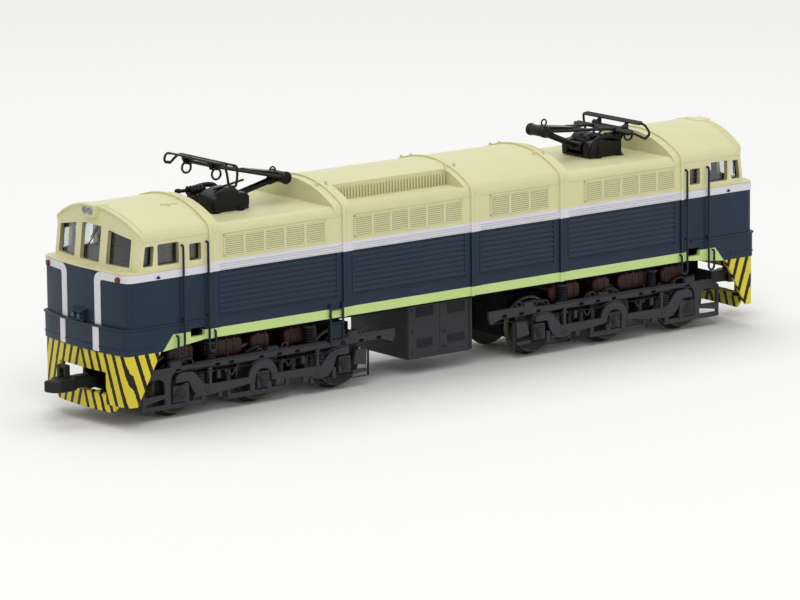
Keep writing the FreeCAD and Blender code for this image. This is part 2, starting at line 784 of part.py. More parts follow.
def coupler(label, placement):
    # an upright flat shank with a square head, and an uncoupling bracket above it
    middle = cell("coupler_height")
    half = cell("shank_half")
    tip = -couplerTip
    body = newBody(label)
    shank = newSketch(body, "XY_Plane", middle - half)
    rectangle(shank, (tip + 6.0, -1.2), (-couplerPivot + 1.3, 1.2))
    disc(shank, (-couplerPivot, 0), cell("coupler_pin") + cell("running_gap"))
    pad(body, shank, half * 2)
    head = newSketch(body, "XY_Plane", middle - 1.7)
    outline(head, [(tip + 6.7, -2.9), (tip + 6.7, 2.9), (tip + 3.4, 2.9), (tip + 2.4, 1.3),
                   (tip, 0.6), (tip + 0.6, -1.4), (tip + 2.0, -2.9)])
    pad(body, head, 2.8)
    # the bracket: a post, a bridge and a leg as low and high corners in plan, foot and height
    bracket = [
        {"low": (4.8, 1.5), "high": (6.4, 2.7), "foot": 1.0, "height": 3.1},
        {"low": (5.0, -0.5), "high": (6.4, 2.2), "foot": 3.1, "height": 0.9},
        {"low": (5.0, -0.5), "high": (6.4, 0.3), "foot": 1.0, "height": 2.5},
    ]
    for row in bracket:
        sketch = newSketch(body, "XY_Plane", middle + row["foot"])
        rectangle(sketch, (tip + row["low"][0], row["low"][1]), (tip + row["high"][0], row["high"][1]))
        pad(body, sketch, row["height"])
    keep(body, label, placement)


# ---- trucks: made round their own pivot, X towards the middle of the locomotive

def truckPlace(end):
    base = Placement(Vector(-truckPivot.value, 0, 0), Rotation())
    return base if end == 1 else turned.multiply(base)


def truckCentre(label, end):
    # the casing between the wheels that carries the axles, its two cross-beams and pivot pin
    half = gearcaseHalf
    spacing = cell("axle_spacing")
    reach = spacing + 5.6
    caseTop = wheelTop + 0.3
    pieces = [boxBetween("case", (-reach, -half, axleHeight - 2.7), (reach, half, caseTop)),
              rod("bearing_pad", (0, 0, caseTop - 0.5), plateLow - caseTop + 0.5 - cell("running_gap"),
                  cell("bearing"), "z"),
              rod("pivot_pin", (0, 0, caseTop - 0.5), plateHigh - caseTop + 2.0, cell("pivot_pin"), "z")]
    beamHalf = spacing / 2 - flangeRadius - 0.7
    for side in (1, -1):
        middle = spacing / 2 * side
        pieces.append(boxBetween("beam", (middle - beamHalf, -frameInner, axleHeight + 0.1),
                                 (middle + beamHalf, frameInner, axleHeight + 4.1)))
    solid = fused("truck_solid", pieces)
    bores = []
    for step in (-1, 0, 1):
        bores.append(rod("axle_bore", (spacing * step, -half - 1, axleHeight), half * 2 + 2,
                         cell("axle_radius") + cell("running_gap"), "y"))
    keep(cutBy(label, solid, fused("axle_bores", bores)), label, truckPlace(end))


def motorCasing(label, end):
    # casing over the wheels with lobes that hang down between each pair of them
    spacing = cell("axle_spacing")
    low = wheelTop + 0.5
    reach = spacing + 3.6
    half = frameInner - 1.4
    pieces = [boxBetween("casing_top", (-reach, -half, low), (reach, half, plateLow - 0.4))]
    lobeHalf = spacing / 2 - flangeRadius - 1.0
    for side in (1, -1):
        middle = spacing / 2 * side
        for hand in (1, -1):
            near, far = (gearcaseHalf, half) if hand > 0 else (-half, -gearcaseHalf)
            pieces.append(boxBetween("lobe", (middle - lobeHalf, near, axleHeight + 4.1),
                                     (middle + lobeHalf, far, low + 0.5)))
    room = rod("bearing_room", (0, 0, low - 1), 4, cell("bearing"), "z")
    keep(cutBy(label, fused("casing", pieces), room), label, truckPlace(end))


# side frame outline: which axle it is measured from (-1 outer, 0 middle, 1 inner),
# distance from that axle towards the middle of the locomotive, height above the axle
frameOutline = [
    (-1, -10.3, -4.9), (-1, 7.8, -4.9), (-1, 7.8, -2.5), (0, -9.3, -2.5), (0, -9.3, -4.9), (0, 7.6, -4.9),
    (0, 7.6, -2.5), (1, -9.6, -2.5), (1, -9.6, -4.7), (1, 7.6, -4.7), (1, 8.2, 2.3), (1, 15.8, 2.3),
    (1, 15.8, 5.5), (1, -2.4, 6.0), (1, -4.5, 5.1), (-1, -5.9, 5.1), (-1, -7.9, 2.8), (-1, -10.3, -3.4),
]

# openings of the side frame: axle, first distance, last distance, lower and upper height
frameOpenings = [
    {"name": "outer end", "axle": -1, "reach": (-8.2, -5.0), "heights": (-3.4, 1.1)},
    {"name": "outer spring", "axle": -1, "reach": (5.0, 18.2), "heights": (-0.4, 1.8)},
    {"name": "inner spring", "axle": 0, "reach": (5.2, 18.4), "heights": (-0.4, 1.8)},
    {"name": "inner end", "axle": 1, "reach": (4.2, 6.8), "heights": (-3.4, 1.8)},
]

# springs beside the axles: axle and distance
springPlaces = [(-1, 7.0), (0, -7.0), (0, 7.0), (1, -7.0)]


def frameSpot(axle, distance, height):
    return (cell("axle_spacing") * axle + distance, axleHeight + height)


def sideFrame(label, end, hand):
    # the outer plate with its axle boxes and springs; hand 1 is the +Y side of truck 1
    inner = -frameInner if hand > 0 else frameInner
    outer = -frameOuter if hand > 0 else frameOuter
    outward = hand > 0
    body = newBody(label)
    sketch = newSketch(body, "XZ_Plane", inner)
    outline(sketch, [frameSpot(*corner) for corner in frameOutline])
    for opening in frameOpenings:
        axle, reach, heights = opening["axle"], opening["reach"], opening["heights"]
        rectangle(sketch, frameSpot(axle, reach[0], heights[0]), frameSpot(axle, reach[1], heights[1]))
    pad(body, sketch, cell("frame_plate"), reverse=outward)
    boxes = newSketch(body, "XZ_Plane", outer)
    for step in (-1, 0, 1):
        rectangle(boxes, frameSpot(step, -2.0, -2.3), frameSpot(step, 2.0, 2.3))
    pad(body, boxes, 0.9, reverse=outward)
    springs = newSketch(body, "XZ_Plane", inner)
    for axle, distance in springPlaces:
        rectangle(springs, frameSpot(axle, distance - 0.9, -0.6), frameSpot(axle, distance + 0.9, 2.0))
    pad(body, springs, cell("frame_plate") - 0.3, reverse=outward)
    keep(body, label, truckPlace(end))


def wheelset(label, end, step):
    # axle and two flanged wheels, turned in one piece about Y
    body = newBody(label)
    sketch = newSketch(body, "XY_Plane")
    inner = cell("wheel_inner")
    outer = inner + cell("wheel_width")
    tread = cell("tread_radius")
    flange = flangeRadius
    axle = cell("axle_radius")
    stub = axle * 0.6
    hub = axle + 0.7
    rim = tread - 0.9
    dish = 0.6
    upper = [(0, outer + 0.5), (stub, outer + 0.5), (stub, outer), (hub, outer), (hub, outer - dish),
             (rim, outer - dish), (rim, outer), (tread - 0.1, outer), (tread + 0.1, inner + 0.9),
             (flange - 0.3, inner + 0.7), (flange, inner + 0.45), (flange - 0.2, inner), (axle, inner)]
    lower = [(point[0], -asSize(point[1])) for point in reversed(upper)]
    outline(sketch, upper + lower)
    feature = body.newObject("PartDesign::Revolution", "Turned")
    feature.Profile = sketch
    feature.ReferenceAxis = (sketch, ["V_Axis"])
    feature.Angle = 360
    own = Placement(Vector(value("axle_spacing") * step, 0, axleHeight.value), Rotation())
    keep(body, label, truckPlace(end).multiply(own))


def trucks():
    for end in (1, 2):
        name = "truck_%d" % end
        truckCentre(name + "_centre", end)
        motorCasing(name + "_motor_casing", end)
        sideFrame(name + "_side_frame_left", end, 1)
        sideFrame(name + "_side_frame_right", end, -1)
        for number, step in ((1, -1), (2, 0), (3, 1)):
            wheelset(name + "_wheelset_%d" % number, end, step)


# ---- pantographs: made on end 1, the knee towards the middle

def pantographBase(label, placement):
    # a low casing on four feet, with two ears that hold the foot pin
    x = -footPlace
    z = footHeight
    low = deckTop + 0.7
    pin = cell("arm_pin")
    pieces = [boxBetween("casing", (x - 9.7, -5.4, low), (x - 1.6, 5.4, z + 2.2)),
              rod("foot_pin", (x, -3.0, z), 6.0, pin, "y")]
    for near in (-3.4, 2.5):
        pieces.append(boxBetween("ear", (x - 2.0, near, low), (x + 1.1, near + 0.9, z + 1.1)))
    for along in (-9.0, -2.4):
        for across in (-4.6, 4.6):
            pieces.append(rod("foot", (x + along, across, deckTop), 1.2, 0.9, "z"))
    keep(fused(label, pieces), label, placement)


def armPoints(number):
    # foot pin, knee and head pin of a pantograph, drawn at end 1
    foot = Vector(-footPlace.value, 0, footHeight.value)
    low = math.radians(value("lower_angle_%d" % number))
    high = math.radians(value("upper_angle_%d" % number))
    knee = foot + Vector(math.cos(low), 0, math.sin(low)) * value("lower_arm")
    head = knee + Vector(-math.cos(high), 0, math.sin(high)) * value("upper_arm")
    return foot, knee, head


def hubAt(name, point, half, radius):
    return rod(name, (point.x, -half, point.z), half * 2, radius, "y")


def lowerArm(label, number, placement):
    # one tube between two hubs that turn on the foot pin and the knee pin
    foot, knee, head = armPoints(number)
    solid = fused("lower_solid", [tubeBetween("arm_tube", foot, knee, 0.8),
                                  hubAt("foot_hub", foot, 2.2, 1.15), hubAt("knee_hub", knee, 1.9, 1.2)])
    bore = cell("arm_pin") + cell("running_gap")
    bores = fused("lower_bores", [hubAt("foot_bore", foot, 3, bore), hubAt("knee_bore", knee, 3, bore)])
    keep(cutBy(label, solid, bores), label, placement)


def upperArm(label, number, placement):
    # two tubes from the knee's ears to the head's cross tube
    foot, knee, head = armPoints(number)
    pin = cell("arm_pin")
    pieces = [hubAt("knee_pin", knee, 3.4, pin), hubAt("head_tube", head, 5.8, pin - 0.05)]
    for side in (1, -1):
        wide = Vector(0, 2.8 * side, 0)
        tip = Vector(0, 4.0 * side, 0)
        pieces.append(tubeBetween("arm_tube", knee + wide, head + tip, 0.5))
        near = 2.2 if side > 0 else -3.4
        pieces.append(rod("knee_ear", (knee.x, near, knee.z), 1.2, 1.1, "y"))
    keep(fused(label, pieces), label, placement)


def collectorHead(label, number, placement):
    # two contact strips joined by end frames that swing on the arm's cross tube
    foot, knee, head = armPoints(number)
    half = cell("head_half")
    pieces = []
    for along in (-2.6, 1.4):
        pieces.append(boxBetween("strip", (head.x + along, -half, head.z + 0.8),
                                 (head.x + along + 1.2, half, head.z + 1.4)))
    for near in (-5.5, 4.8):
        pieces.append(boxBetween("end_frame", (head.x - 2.6, near, head.z - 0.2),
                                 (head.x + 2.6, near + 0.7, head.z + 0.9)))
        pieces.append(rod("eye", (head.x, near, head.z), 0.7, 0.95, "y"))
    solid = fused("head_solid", pieces)
    bore = hubAt("head_bore", head, 6.5, cell("arm_pin") - 0.05 + cell("running_gap"))
    keep(cutBy(label, solid, bore), label, placement)


def pantographs():
    for number, placement in ((1, asMade), (2, turned)):
        name = "pantograph_%d" % number
        pantographBase(name + "_base", placement)
        lowerArm(name + "_lower_arm", number, placement)
        upperArm(name + "_upper_arm", number, placement)
        collectorHead(name + "_head", number, placement)


def ends():
    for name, placement in (("front", asMade), ("rear", turned)):
        cabShell("cab_%s_shell" % name, placement)
        cabGlazing("cab_%s_glazing" % name, placement)
        roofLamps("roof_lamps_" + name, placement)
        noseLamps("nose_lamps_" + name, placement)
        pilot("pilot_" + name, placement)
        handrails("handrails_" + name, placement)
        couplerBox("coupler_box_" + name, placement)
        coupler("coupler_" + name, placement)


def report(problem):
    raise RuntimeError(problem)


def checkAndWrite():
    doc.recompute()
    for thing in doc.Objects:
        for word in ("Invalid", "Error"):
            if word in thing.State:
                report("%s (%s) is %s" % (thing.Name, thing.Label, word))
    labels = [node.Label for node in nodes]
    if len(set(labels)) != len(labels):
        report("two sub-parts share a label")
    for node in nodes:
        if node.Shape.isNull() or not node.Shape.isValid() or not node.Shape.Solids:
            report("bad shape: " + node.Label)
    os.makedirs("parts", exist_ok=True)
    for node in nodes:
        node.Shape.exportStep("parts/%s.step" % node.Label)
        print(node.Label, len(node.Shape.Solids), round(node.Shape.Volume, 1))
    print(len(nodes), "sub-parts")


ends()
hoodSections()
jointRings()
grilleLow = beltHigh + cell("grille_gap")
sidePanels("grille_panels", "grille", grilleLow, grilleLow + cell("grille_height"))
sidePanels("fluted_panels", "flutes", plateLow + cell("flute_height"), beltLow - 0.2)
chassisPlate()
ballastBlock()
equipmentBox()
sideLadders()
roofSlats("roof_slats_left", 1)
roofSlats("roof_slats_right", -1)
roofFittings()
trucks()
pantographs()
checkAndWrite()
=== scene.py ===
import math
import bmesh
import bpy
import numpy as np
from mathutils import Matrix, Vector


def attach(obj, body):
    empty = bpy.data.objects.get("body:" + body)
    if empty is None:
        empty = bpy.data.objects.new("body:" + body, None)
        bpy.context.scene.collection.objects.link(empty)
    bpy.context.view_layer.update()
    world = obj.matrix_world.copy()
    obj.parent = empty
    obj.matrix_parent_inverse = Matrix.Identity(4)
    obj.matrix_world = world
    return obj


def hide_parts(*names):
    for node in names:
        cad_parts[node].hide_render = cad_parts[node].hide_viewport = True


# Electric locomotive, HO model (1:87), on a plain floor.
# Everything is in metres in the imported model's frame: X along the body, Y across it, Z up.
# Places are worked out in millimetres and scaled once, when a mesh is made.

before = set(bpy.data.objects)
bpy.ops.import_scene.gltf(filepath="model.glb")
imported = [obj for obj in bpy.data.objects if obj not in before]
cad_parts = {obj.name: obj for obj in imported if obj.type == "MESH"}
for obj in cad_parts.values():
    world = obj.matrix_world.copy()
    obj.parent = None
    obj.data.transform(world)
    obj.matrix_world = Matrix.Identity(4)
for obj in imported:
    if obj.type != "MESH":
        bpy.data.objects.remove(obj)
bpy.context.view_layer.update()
mm = 0.001
perMetre = 1000.0
scene = bpy.context.scene


# A shape is (places, faces, recessShade): places n x 3 in millimetres, faces a list of index arrays,
# and recessShade a number for each place, painted shade from 0 on the surface to 1 in the bottom of a groove.


def gridFaces(rows, cols, wrapRows=False, wrapCols=False):
    # quads join each place of a grid to the next along its row and the next along its column
    i = np.arange(rows if wrapRows else rows - 1)[:, None]
    j = np.arange(cols if wrapCols else cols - 1)[None, :]
    nextRow, nextCol = (i + 1) % rows, (j + 1) % cols
    corners = (i * cols + j, i * cols + nextCol, nextRow * cols + nextCol, nextRow * cols + j)
    return np.stack(np.broadcast_arrays(*corners), -1).reshape(-1, 4)


def outward(places, faces):
    # the volume is the sum of v0 . (v1 x v2) over each face's fan of triangles; below 0 it is inside out
    volume = 0.0
    centred = places - places.mean(0)
    for face in faces:
        v = centred[face]
        for k in range(1, face.shape[1] - 1):
            volume += (v[:, 0] * np.cross(v[:, k], v[:, k + 1])).sum()
    return faces if volume > 0 else [face[:, ::-1] for face in faces]


def ringSolid(rings, recessShade=None, wrapRows=False):
    # closed rings of places, joined one to the next and shut by a face at each end
    rings = np.asarray(rings, float)
    rows, cols = rings.shape[:2]
    places = rings.reshape(-1, 3)
    faces = [gridFaces(rows, cols, wrapRows, True)]
    if not wrapRows:
        ends = np.arange(cols)
        faces += [ends[None, ::-1], (rows - 1) * cols + ends[None, :]]
    shade = np.zeros(len(places)) if recessShade is None else np.broadcast_to(recessShade, (rows, cols)).reshape(-1)
    return places, outward(places, faces), shade


def joined(shapes):
    # all places one after another, with each shape's faces counted on from the places before it
    starts = np.cumsum([0] + [len(s[0]) for s in shapes])
    faces = [face + start for s, start in zip(shapes, starts) for face in s[1]]
    return np.concatenate([s[0] for s in shapes]), faces, np.concatenate([s[2] for s in shapes])


def changed(shape, scale=(1, 1, 1), shift=(0, 0, 0)):
    # each place times scale, plus shift; a mirrored shape has its faces turned back round
    places, faces, shade = shape
    if np.prod(scale) < 0:
        faces = [face[:, ::-1] for face in faces]
    return places * np.array(scale, float) + np.array(shift, float), faces, shade


def swung(shape, axis, degrees, about=(0, 0, 0)):
    # turned by an angle about an axis through a point
    turn = np.array(Matrix.Rotation(math.radians(degrees), 3, axis))
    middle = np.array(about, float)
    return (shape[0] - middle) @ turn.T + middle, shape[1], shape[2]


def bothSides(shape):
    return joined([shape, changed(shape, (1, -1, 1))])


def drawnIn(outline, amount):
    # each corner moves in by amount (a + b) / (1 + a . b), a and b its two edges' inward normals
    edge = np.roll(outline, -1, 0) - outline
    edge = edge / np.linalg.norm(edge, axis=1, keepdims=True)
    normal = np.stack([-edge[:, 1], edge[:, 0]], 1)
    x, y = outline.T
    if (x * np.roll(y, -1) - np.roll(x, -1) * y).sum() < 0:
        normal = -normal
    before = np.roll(normal, 1, 0)
    return outline + amount * (before + normal) / (1 + (before * normal).sum(1, keepdims=True))


axisOrder = {"x": (2, 0, 1), "y": (0, 2, 1), "z": (0, 1, 2)}


def prism(outline, low, high, axis="y", ease=0.12):
    # an outline carried from low to high along an axis, drawn in by ease at both ends
    outline = np.asarray(outline, float)
    narrow = drawnIn(outline, ease)
    rings = [(narrow, low), (outline, low + ease), (outline, high - ease), (narrow, high)]
    flat = [np.column_stack([ring, np.full(len(ring), along)]) for ring, along in rings]
    return ringSolid(np.array(flat)[:, :, axisOrder[axis]])


def roundedRect(low, high, corner, steps=2):
    # a quarter circle of the corner radius at each corner, joined by straight sides
    (x0, y0), (x1, y1) = low, high
    turn = np.linspace(0, np.pi / 2, steps + 1)
    quarter = np.stack([np.cos(turn), np.sin(turn)], 1) * corner
    middles = [(x1 - corner, y1 - corner), (x0 + corner, y1 - corner), (x0 + corner, y0 + corner),
               (x1 - corner, y0 + corner)]
    corners = []
    for k, middle in enumerate(middles):
        c, s = math.cos(k * math.pi / 2), math.sin(k * math.pi / 2)
        corners.append(quarter @ np.array([[c, s], [-s, c]]) + middle)
    return np.concatenate(corners)


def block(low, high, ease=0.12):
    # a box between two opposite corners, with eased edges
    return prism(roundedRect(low[:2], high[:2], ease, 1), low[2], high[2], "z", ease)


def cutPlate(outlines, low, high, axis="y", ease=0.07, slices=()):
    # flat curves filled between outer lines and holes, thickened from low to high and eased all round;
    # slices are places across which the plate gets extra edges, so that it can be bent afterwards
    curve = bpy.data.curves.new("cut", "CURVE")
    curve.dimensions, curve.fill_mode = "2D", "BOTH"
    curve.extrude, curve.bevel_depth, curve.bevel_resolution = (high - low) / 2 - ease, ease, 0
    curve.offset = -ease
    for outline in outlines:
        outline = np.asarray(outline, float)
        line = curve.splines.new("POLY")
        line.points.add(len(outline) - 1)
        line.points.foreach_set("co", np.column_stack([outline, np.zeros(len(outline)),
                                                       np.ones(len(outline))]).ravel())
        line.use_cyclic_u = True
    holder = bpy.data.objects.new("cut", curve)
    mesh = bpy.data.meshes.new_from_object(holder)
    places, faces = cleaned(mesh, slices=slices)
    bpy.data.objects.remove(holder)
    bpy.data.curves.remove(curve)
    places[:, 2] += (low + high) / 2
    places = places[:, axisOrder[axis]]
    return places, outward(places, faces), np.zeros(len(places))


def sliced(work, slices, apart):
    # extra edges where the planes x = slice cut the mesh
    for across in slices:
        bmesh.ops.bisect_plane(work, geom=work.verts[:] + work.edges[:] + work.faces[:], dist=apart,
                               plane_co=(across, 0, 0), plane_no=(1, 0, 0))


def cleaned(mesh, slices=()):
    # merges doubles, adds edges across the slices, turns every face outward, and gives arrays
    work = bmesh.new()
    work.from_mesh(mesh)
    bmesh.ops.remove_doubles(work, verts=work.verts, dist=1e-4)
    sliced(work, slices, 1e-5)
    bmesh.ops.recalc_face_normals(work, faces=work.faces)
    work.to_mesh(mesh)
    work.free()
    places = np.empty(len(mesh.vertices) * 3, np.float32)
    mesh.vertices.foreach_get("co", places)
    loops = np.empty(len(mesh.loops), np.int32)
    mesh.loops.foreach_get("vertex_index", loops)
    totals = np.empty(len(mesh.polygons), np.int32)
    mesh.polygons.foreach_get("loop_total", totals)
    starts = np.cumsum(totals) - totals
    faces = [loops[starts[totals == n][:, None] + np.arange(n)] for n in np.unique(totals)]
    bpy.data.meshes.remove(mesh)
    return places.reshape(-1, 3).astype(float), faces


def swept(profile, path, up=(0, 0, 1)):
    # a closed profile of (across, out) carried along a path: across = up x along, out = along x across
    path, profile = np.asarray(path, float), np.asarray(profile, float)
    along = np.gradient(path, axis=0)
    along /= np.linalg.norm(along, axis=1, keepdims=True)
    across = np.cross(np.broadcast_to(np.asarray(up, float), along.shape), along)
    across /= np.linalg.norm(across, axis=1, keepdims=True)
    out = np.cross(along, across)
    wide, high = profile[None, :, :1], profile[None, :, 1:]
    return ringSolid(path[:, None] + wide * across[:, None] + high * out[:, None])


def circle(radius, sides=10):
    turn = np.linspace(0, 2 * np.pi, sides, endpoint=False)
    return np.stack([np.cos(turn), np.sin(turn)], 1) * radius


def tube(path, radius, up=(0, 0, 1), sides=8):
    return swept(circle(radius, sides), path, up)


def turned(profile, start, end, sides=16):
    # a profile of (distance along, radius) turned about the line from start to end
    start, end = np.array(start, float), np.array(end, float)
    along = (end - start) / np.linalg.norm(end - start)
    helper = np.array([0, 0, 1.0]) if abs(along[2]) < 0.9 else np.array([1.0, 0, 0])
    side = np.cross(along, helper)
    side /= np.linalg.norm(side)
    c = circle(1, sides)
    ring = c[:, :1] * side + c[:, 1:] * np.cross(along, side)
    profile = np.asarray(profile, float)
    return ringSolid(start + profile[:, :1, None] * along + profile[:, 1:, None] * ring[None])


def rod(start, end, radius, sides=12, ease=0.08):
    length = np.linalg.norm(np.subtract(end, start))
    profile = [(0, radius - ease), (ease, radius), (length - ease, radius), (length, radius - ease)]
    return turned(profile, start, end, sides)


def smoothed(points, steps=6):
    # Catmull-Rom: each stretch blends its two ends and their neighbours with cubic weights
    p = np.asarray(points, float)
    p = np.vstack([2 * p[0] - p[1], p, 2 * p[-1] - p[-2]])
    t = np.linspace(0, 1, steps, endpoint=False)[None, :, None]
    a, b, c, d = (p[k:len(p) - 3 + k][:, None] for k in range(4))
    square, cube = 2 * a - 5 * b + 4 * c - d, 3 * b - a - 3 * c + d
    curve = 0.5 * (2 * b + (c - a) * t + square * t ** 2 + cube * t ** 3)
    return np.vstack([curve.reshape(-1, p.shape[1]), p[-2]])


def arcOf(centre, radius, first, last, steps=8):
    # places on a circle between two angles in degrees
    turn = np.radians(np.linspace(first, last, steps))
    return np.stack([centre[0] + radius * np.cos(turn), centre[1] + radius * np.sin(turn)], 1)


def archOutline(half, spring, top, corner, steps=24):
    # a flat arch whose ends meet the sides in small arcs; its radius follows from height and width
    reach, rise = half - corner, top - spring
    radius = (reach ** 2 + rise ** 2 - corner ** 2) / (2 * (rise - corner))
    middle = top - radius
    way = math.copysign(1, radius)  # below 0 the crown is hollow
    lean = math.degrees(math.atan2((spring - middle) * way, reach * way))
    right = arcOf((reach, spring), corner, 0, lean, 6)
    crown = arcOf((0, middle), radius, lean, 180 - lean, steps)
    left = right[::-1] * (-1, 1)
    return np.vstack([right, crown[1:-1], left])


def bothEnds(shape):
    return joined([shape, changed(shape, (-1, -1, 1))])


def atEnd(shape, sign):
    # sign 1 leaves it at the front, -1 turns it half round to the rear
    return changed(shape, (sign, sign, 1))


def darkened(shape, recessShade=1.0):
    # adds painted shade to every place of the shape
    return shape[0], shape[1], shape[2] + recessShade


def addPiece(name, material, shape, replaced=(), sharp=35, body="locomotive_body"):
    # makes one object from a shape, in metres, riding on a body
    places, faces, shade = shape
    mesh = bpy.data.meshes.new(name)
    loops = np.concatenate([face.ravel() for face in faces])
    totals = np.concatenate([np.full(len(face), face.shape[1]) for face in faces])
    mesh.vertices.add(len(places))
    mesh.vertices.foreach_set("co", (places * mm).astype(np.float32).ravel())
    mesh.loops.add(len(loops))
    mesh.loops.foreach_set("vertex_index", loops.astype(np.int32))
    mesh.polygons.add(len(totals))
    mesh.polygons.foreach_set("loop_start", (np.cumsum(totals) - totals).astype(np.int32))
    mesh.polygons.foreach_set("use_smooth", np.ones(len(totals), bool))
    mesh.update(calc_edges=True)
    mesh.set_sharp_from_angle(angle=math.radians(sharp))
    # the painted shade goes on the mesh as a point attribute, which every material reads
    if shade.max() > 0:
        mesh.attributes.new("recessShade", "FLOAT", "POINT").data.foreach_set("value", shade.astype(np.float32))
    piece = bpy.data.objects.new(name, mesh)
    scene.collection.objects.link(piece)
    mesh.materials.append(material)
    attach(piece, body)
    if replaced:
        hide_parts(*replaced)
    return piece


def toLinear(hexText):
    # sRGB hex to linear colour: c / 12.92 below 0.04045, ((c + 0.055) / 1.055) ^ 2.4 above
    srgb = np.array([int(hexText[i:i + 2], 16) for i in (1, 3, 5)]) / 255
    flat = np.where(srgb <= 0.04045, srgb / 12.92, ((srgb + 0.055) / 1.055) ** 2.4)
    return (*flat.tolist(), 1.0)


def addNode(tree, kind, settings=None, links=None):
    # adds one node: a setting names a property or an input, a link names an input and its source
    node = tree.nodes.new(kind)
    for name, amount in (settings or {}).items():
        if isinstance(name, str) and hasattr(node, name):
            setattr(node, name, amount)
        else:
            node.inputs[name].default_value = amount
    for name, source in (links or {}).items():
        tree.links.new(source, node.inputs[name])
    return node


def newMaterial(name):
    material = bpy.data.materials.new(name)
    material.use_nodes = True
    tree = material.node_tree
    tree.nodes.clear()
    output = addNode(tree, "ShaderNodeOutputMaterial")
    return material, tree, output


def simpleMaterial(name, settings):
    # one even surface, for the floor's paper and for clear plastic
    material, tree, output = newMaterial(name)
    shader = addNode(tree, "ShaderNodeBsdfPrincipled", settings)
    tree.links.new(shader.outputs["BSDF"], output.inputs["Surface"])
    return material


def math2(tree, operation, first, second=0.0, third=None):
    # a number or a socket on each side of one sum
    node = tree.nodes.new("ShaderNodeMath")
    node.operation = operation
    for place, amount in enumerate((first, second) if third is None else (first, second, third)):
        if isinstance(amount, (int, float)):
            node.inputs[place].default_value = amount
        else:
            tree.links.new(amount, node.inputs[place])
    return node.outputs[0]


def noiseOf(tree, coords, size, detail):
    # soft noise between 0 and 1 in patches about size millimetres across
    return addNode(tree, "ShaderNodeTexNoise", {"Scale": perMetre / size, "Detail": detail},
                   {"Vector": coords}).outputs["Fac"]


def around(tree, noise, middle, span):
    # middle - span where the noise is 0.3, middle + span where it is 0.7
    limits = {"From Min": 0.3, "From Max": 0.7, "To Min": middle - span, "To Max": middle + span}
    return addNode(tree, "ShaderNodeMapRange", limits, {"Value": noise}).outputs[0]


def mixed(tree, share, first, second):
    # the first colour where share is 0, the second where it is 1
    node = addNode(tree, "ShaderNodeMix", {"data_type": "RGBA", 7: toLinear(second)}, {0: share})
    if isinstance(first, str):
        node.inputs[6].default_value = toLinear(first)
    else:
        tree.links.new(first, node.inputs[6])
    return node.outputs[2]


def axesOf(tree):
    coords = addNode(tree, "ShaderNodeTexCoord").outputs["Object"]
    return coords, addNode(tree, "ShaderNodeSeparateXYZ", {}, {"Vector": coords}).outputs


def distance(tree, socket):
    # how far from the middle plane, in millimetres
    return math2(tree, "MULTIPLY", math2(tree, "ABSOLUTE", socket), perMetre)


def finishSurface(tree, output, colour, look):
    # the last part of every opaque surface: painted shade darkens the recesses; two noises in tone, roughness
    # and relief.
    # level = (1 + patch) (1 + speck) (1 - shadeStrength x recessShade), relief = speck x relief height
    coords = addNode(tree, "ShaderNodeTexCoord").outputs["Object"]
    patch = noiseOf(tree, coords, look["patch"], 3.0)
    speck = noiseOf(tree, coords, look["speck"], 2.0)
    deep = addNode(tree, "ShaderNodeAttribute", {"attribute_name": "recessShade"})
    tone = math2(tree, "MULTIPLY", around(tree, patch, 1, look["tone"]), around(tree, speck, 1, look["fine"]))
    level = math2(tree, "MULTIPLY", tone, math2(tree, "MULTIPLY_ADD", deep.outputs["Fac"], -look["shadeStrength"],
                                                1.0))
    shade = addNode(tree, "ShaderNodeVectorMath", {"operation": "SCALE"}, {"Scale": level})
    if isinstance(colour, tuple):
        shade.inputs[0].default_value = colour[:3]
    else:
        tree.links.new(colour, shade.inputs[0])
    rough = around(tree, patch, look["rough"], look["roughSpan"])
    bump = addNode(tree, "ShaderNodeBump", {"Strength": 1.0, "Distance": look["relief"] * mm},
                   {"Height": speck})
    shader = addNode(tree, "ShaderNodeBsdfPrincipled", look.get("shader"),
                     {"Base Color": shade.outputs[0], "Roughness": rough, "Normal": bump.outputs[0]})
    tree.links.new(shader.outputs["BSDF"], output.inputs["Surface"])


# Sprayed satin enamel over moulded ABS: even colour with a faint orange peel, soft sheen,
# and painted shade darkening the louvres and panel lines.
bodyPaint = {"cream": "#D5D0A3", "white": "#D6D5DC", "blue": "#14283A", "green": "#BFD78A",
             "stripeTop": 21.0, "beltLow": 34.1, "beltHigh": 36.4, "noseTop": 35.9, "slantStart": 81.2,
             "slant": 0.8, "wobble": 0.06, "wobbleSize": 0.9}
enamelLook = {"patch": 9.0, "speck": 0.14, "tone": 0.02, "fine": 0.012, "shadeStrength": 0.62, "rough": 0.42,
              "roughSpan": 0.05, "relief": 0.006, "shader": {"Specular IOR Level": 0.25}}


def enamelMaterial(name, belt):
    # colour by height: green below the stripe's top, blue, white across the belt, cream above.
    # the green ends forward along |x| < slantStart + slant (stripeTop - z)
    material, tree, output = newMaterial(name)
    p = bodyPaint
    coords, axes = axesOf(tree)
    wobble = math2(tree, "MULTIPLY_ADD", noiseOf(tree, coords, p["wobbleSize"], 1.0), p["wobble"],
                   -p["wobble"] / 2)
    height = math2(tree, "ADD", math2(tree, "MULTIPLY", axes["Z"], perMetre), wobble)
    below = math2(tree, "SUBTRACT", p["stripeTop"], height)
    reach = math2(tree, "MULTIPLY_ADD", below, p["slant"], p["slantStart"])
    striped = math2(tree, "MULTIPLY", math2(tree, "GREATER_THAN", below, 0.0),
                    math2(tree, "LESS_THAN", distance(tree, axes["X"]), reach))
    colour, top = mixed(tree, striped, p["blue"], p["green"]), p["noseTop"]
    if belt:
        colour = mixed(tree, math2(tree, "GREATER_THAN", height, p["beltLow"]), colour, p["white"])
        top = p["beltHigh"]
    colour = mixed(tree, math2(tree, "GREATER_THAN", height, top), colour, p["cream"])
    finishSurface(tree, output, colour, enamelLook)
    return material


def oneColour(name, colour, look):
    material, tree, output = newMaterial(name)
    finishSurface(tree, output, toLinear(colour), look)
    return material


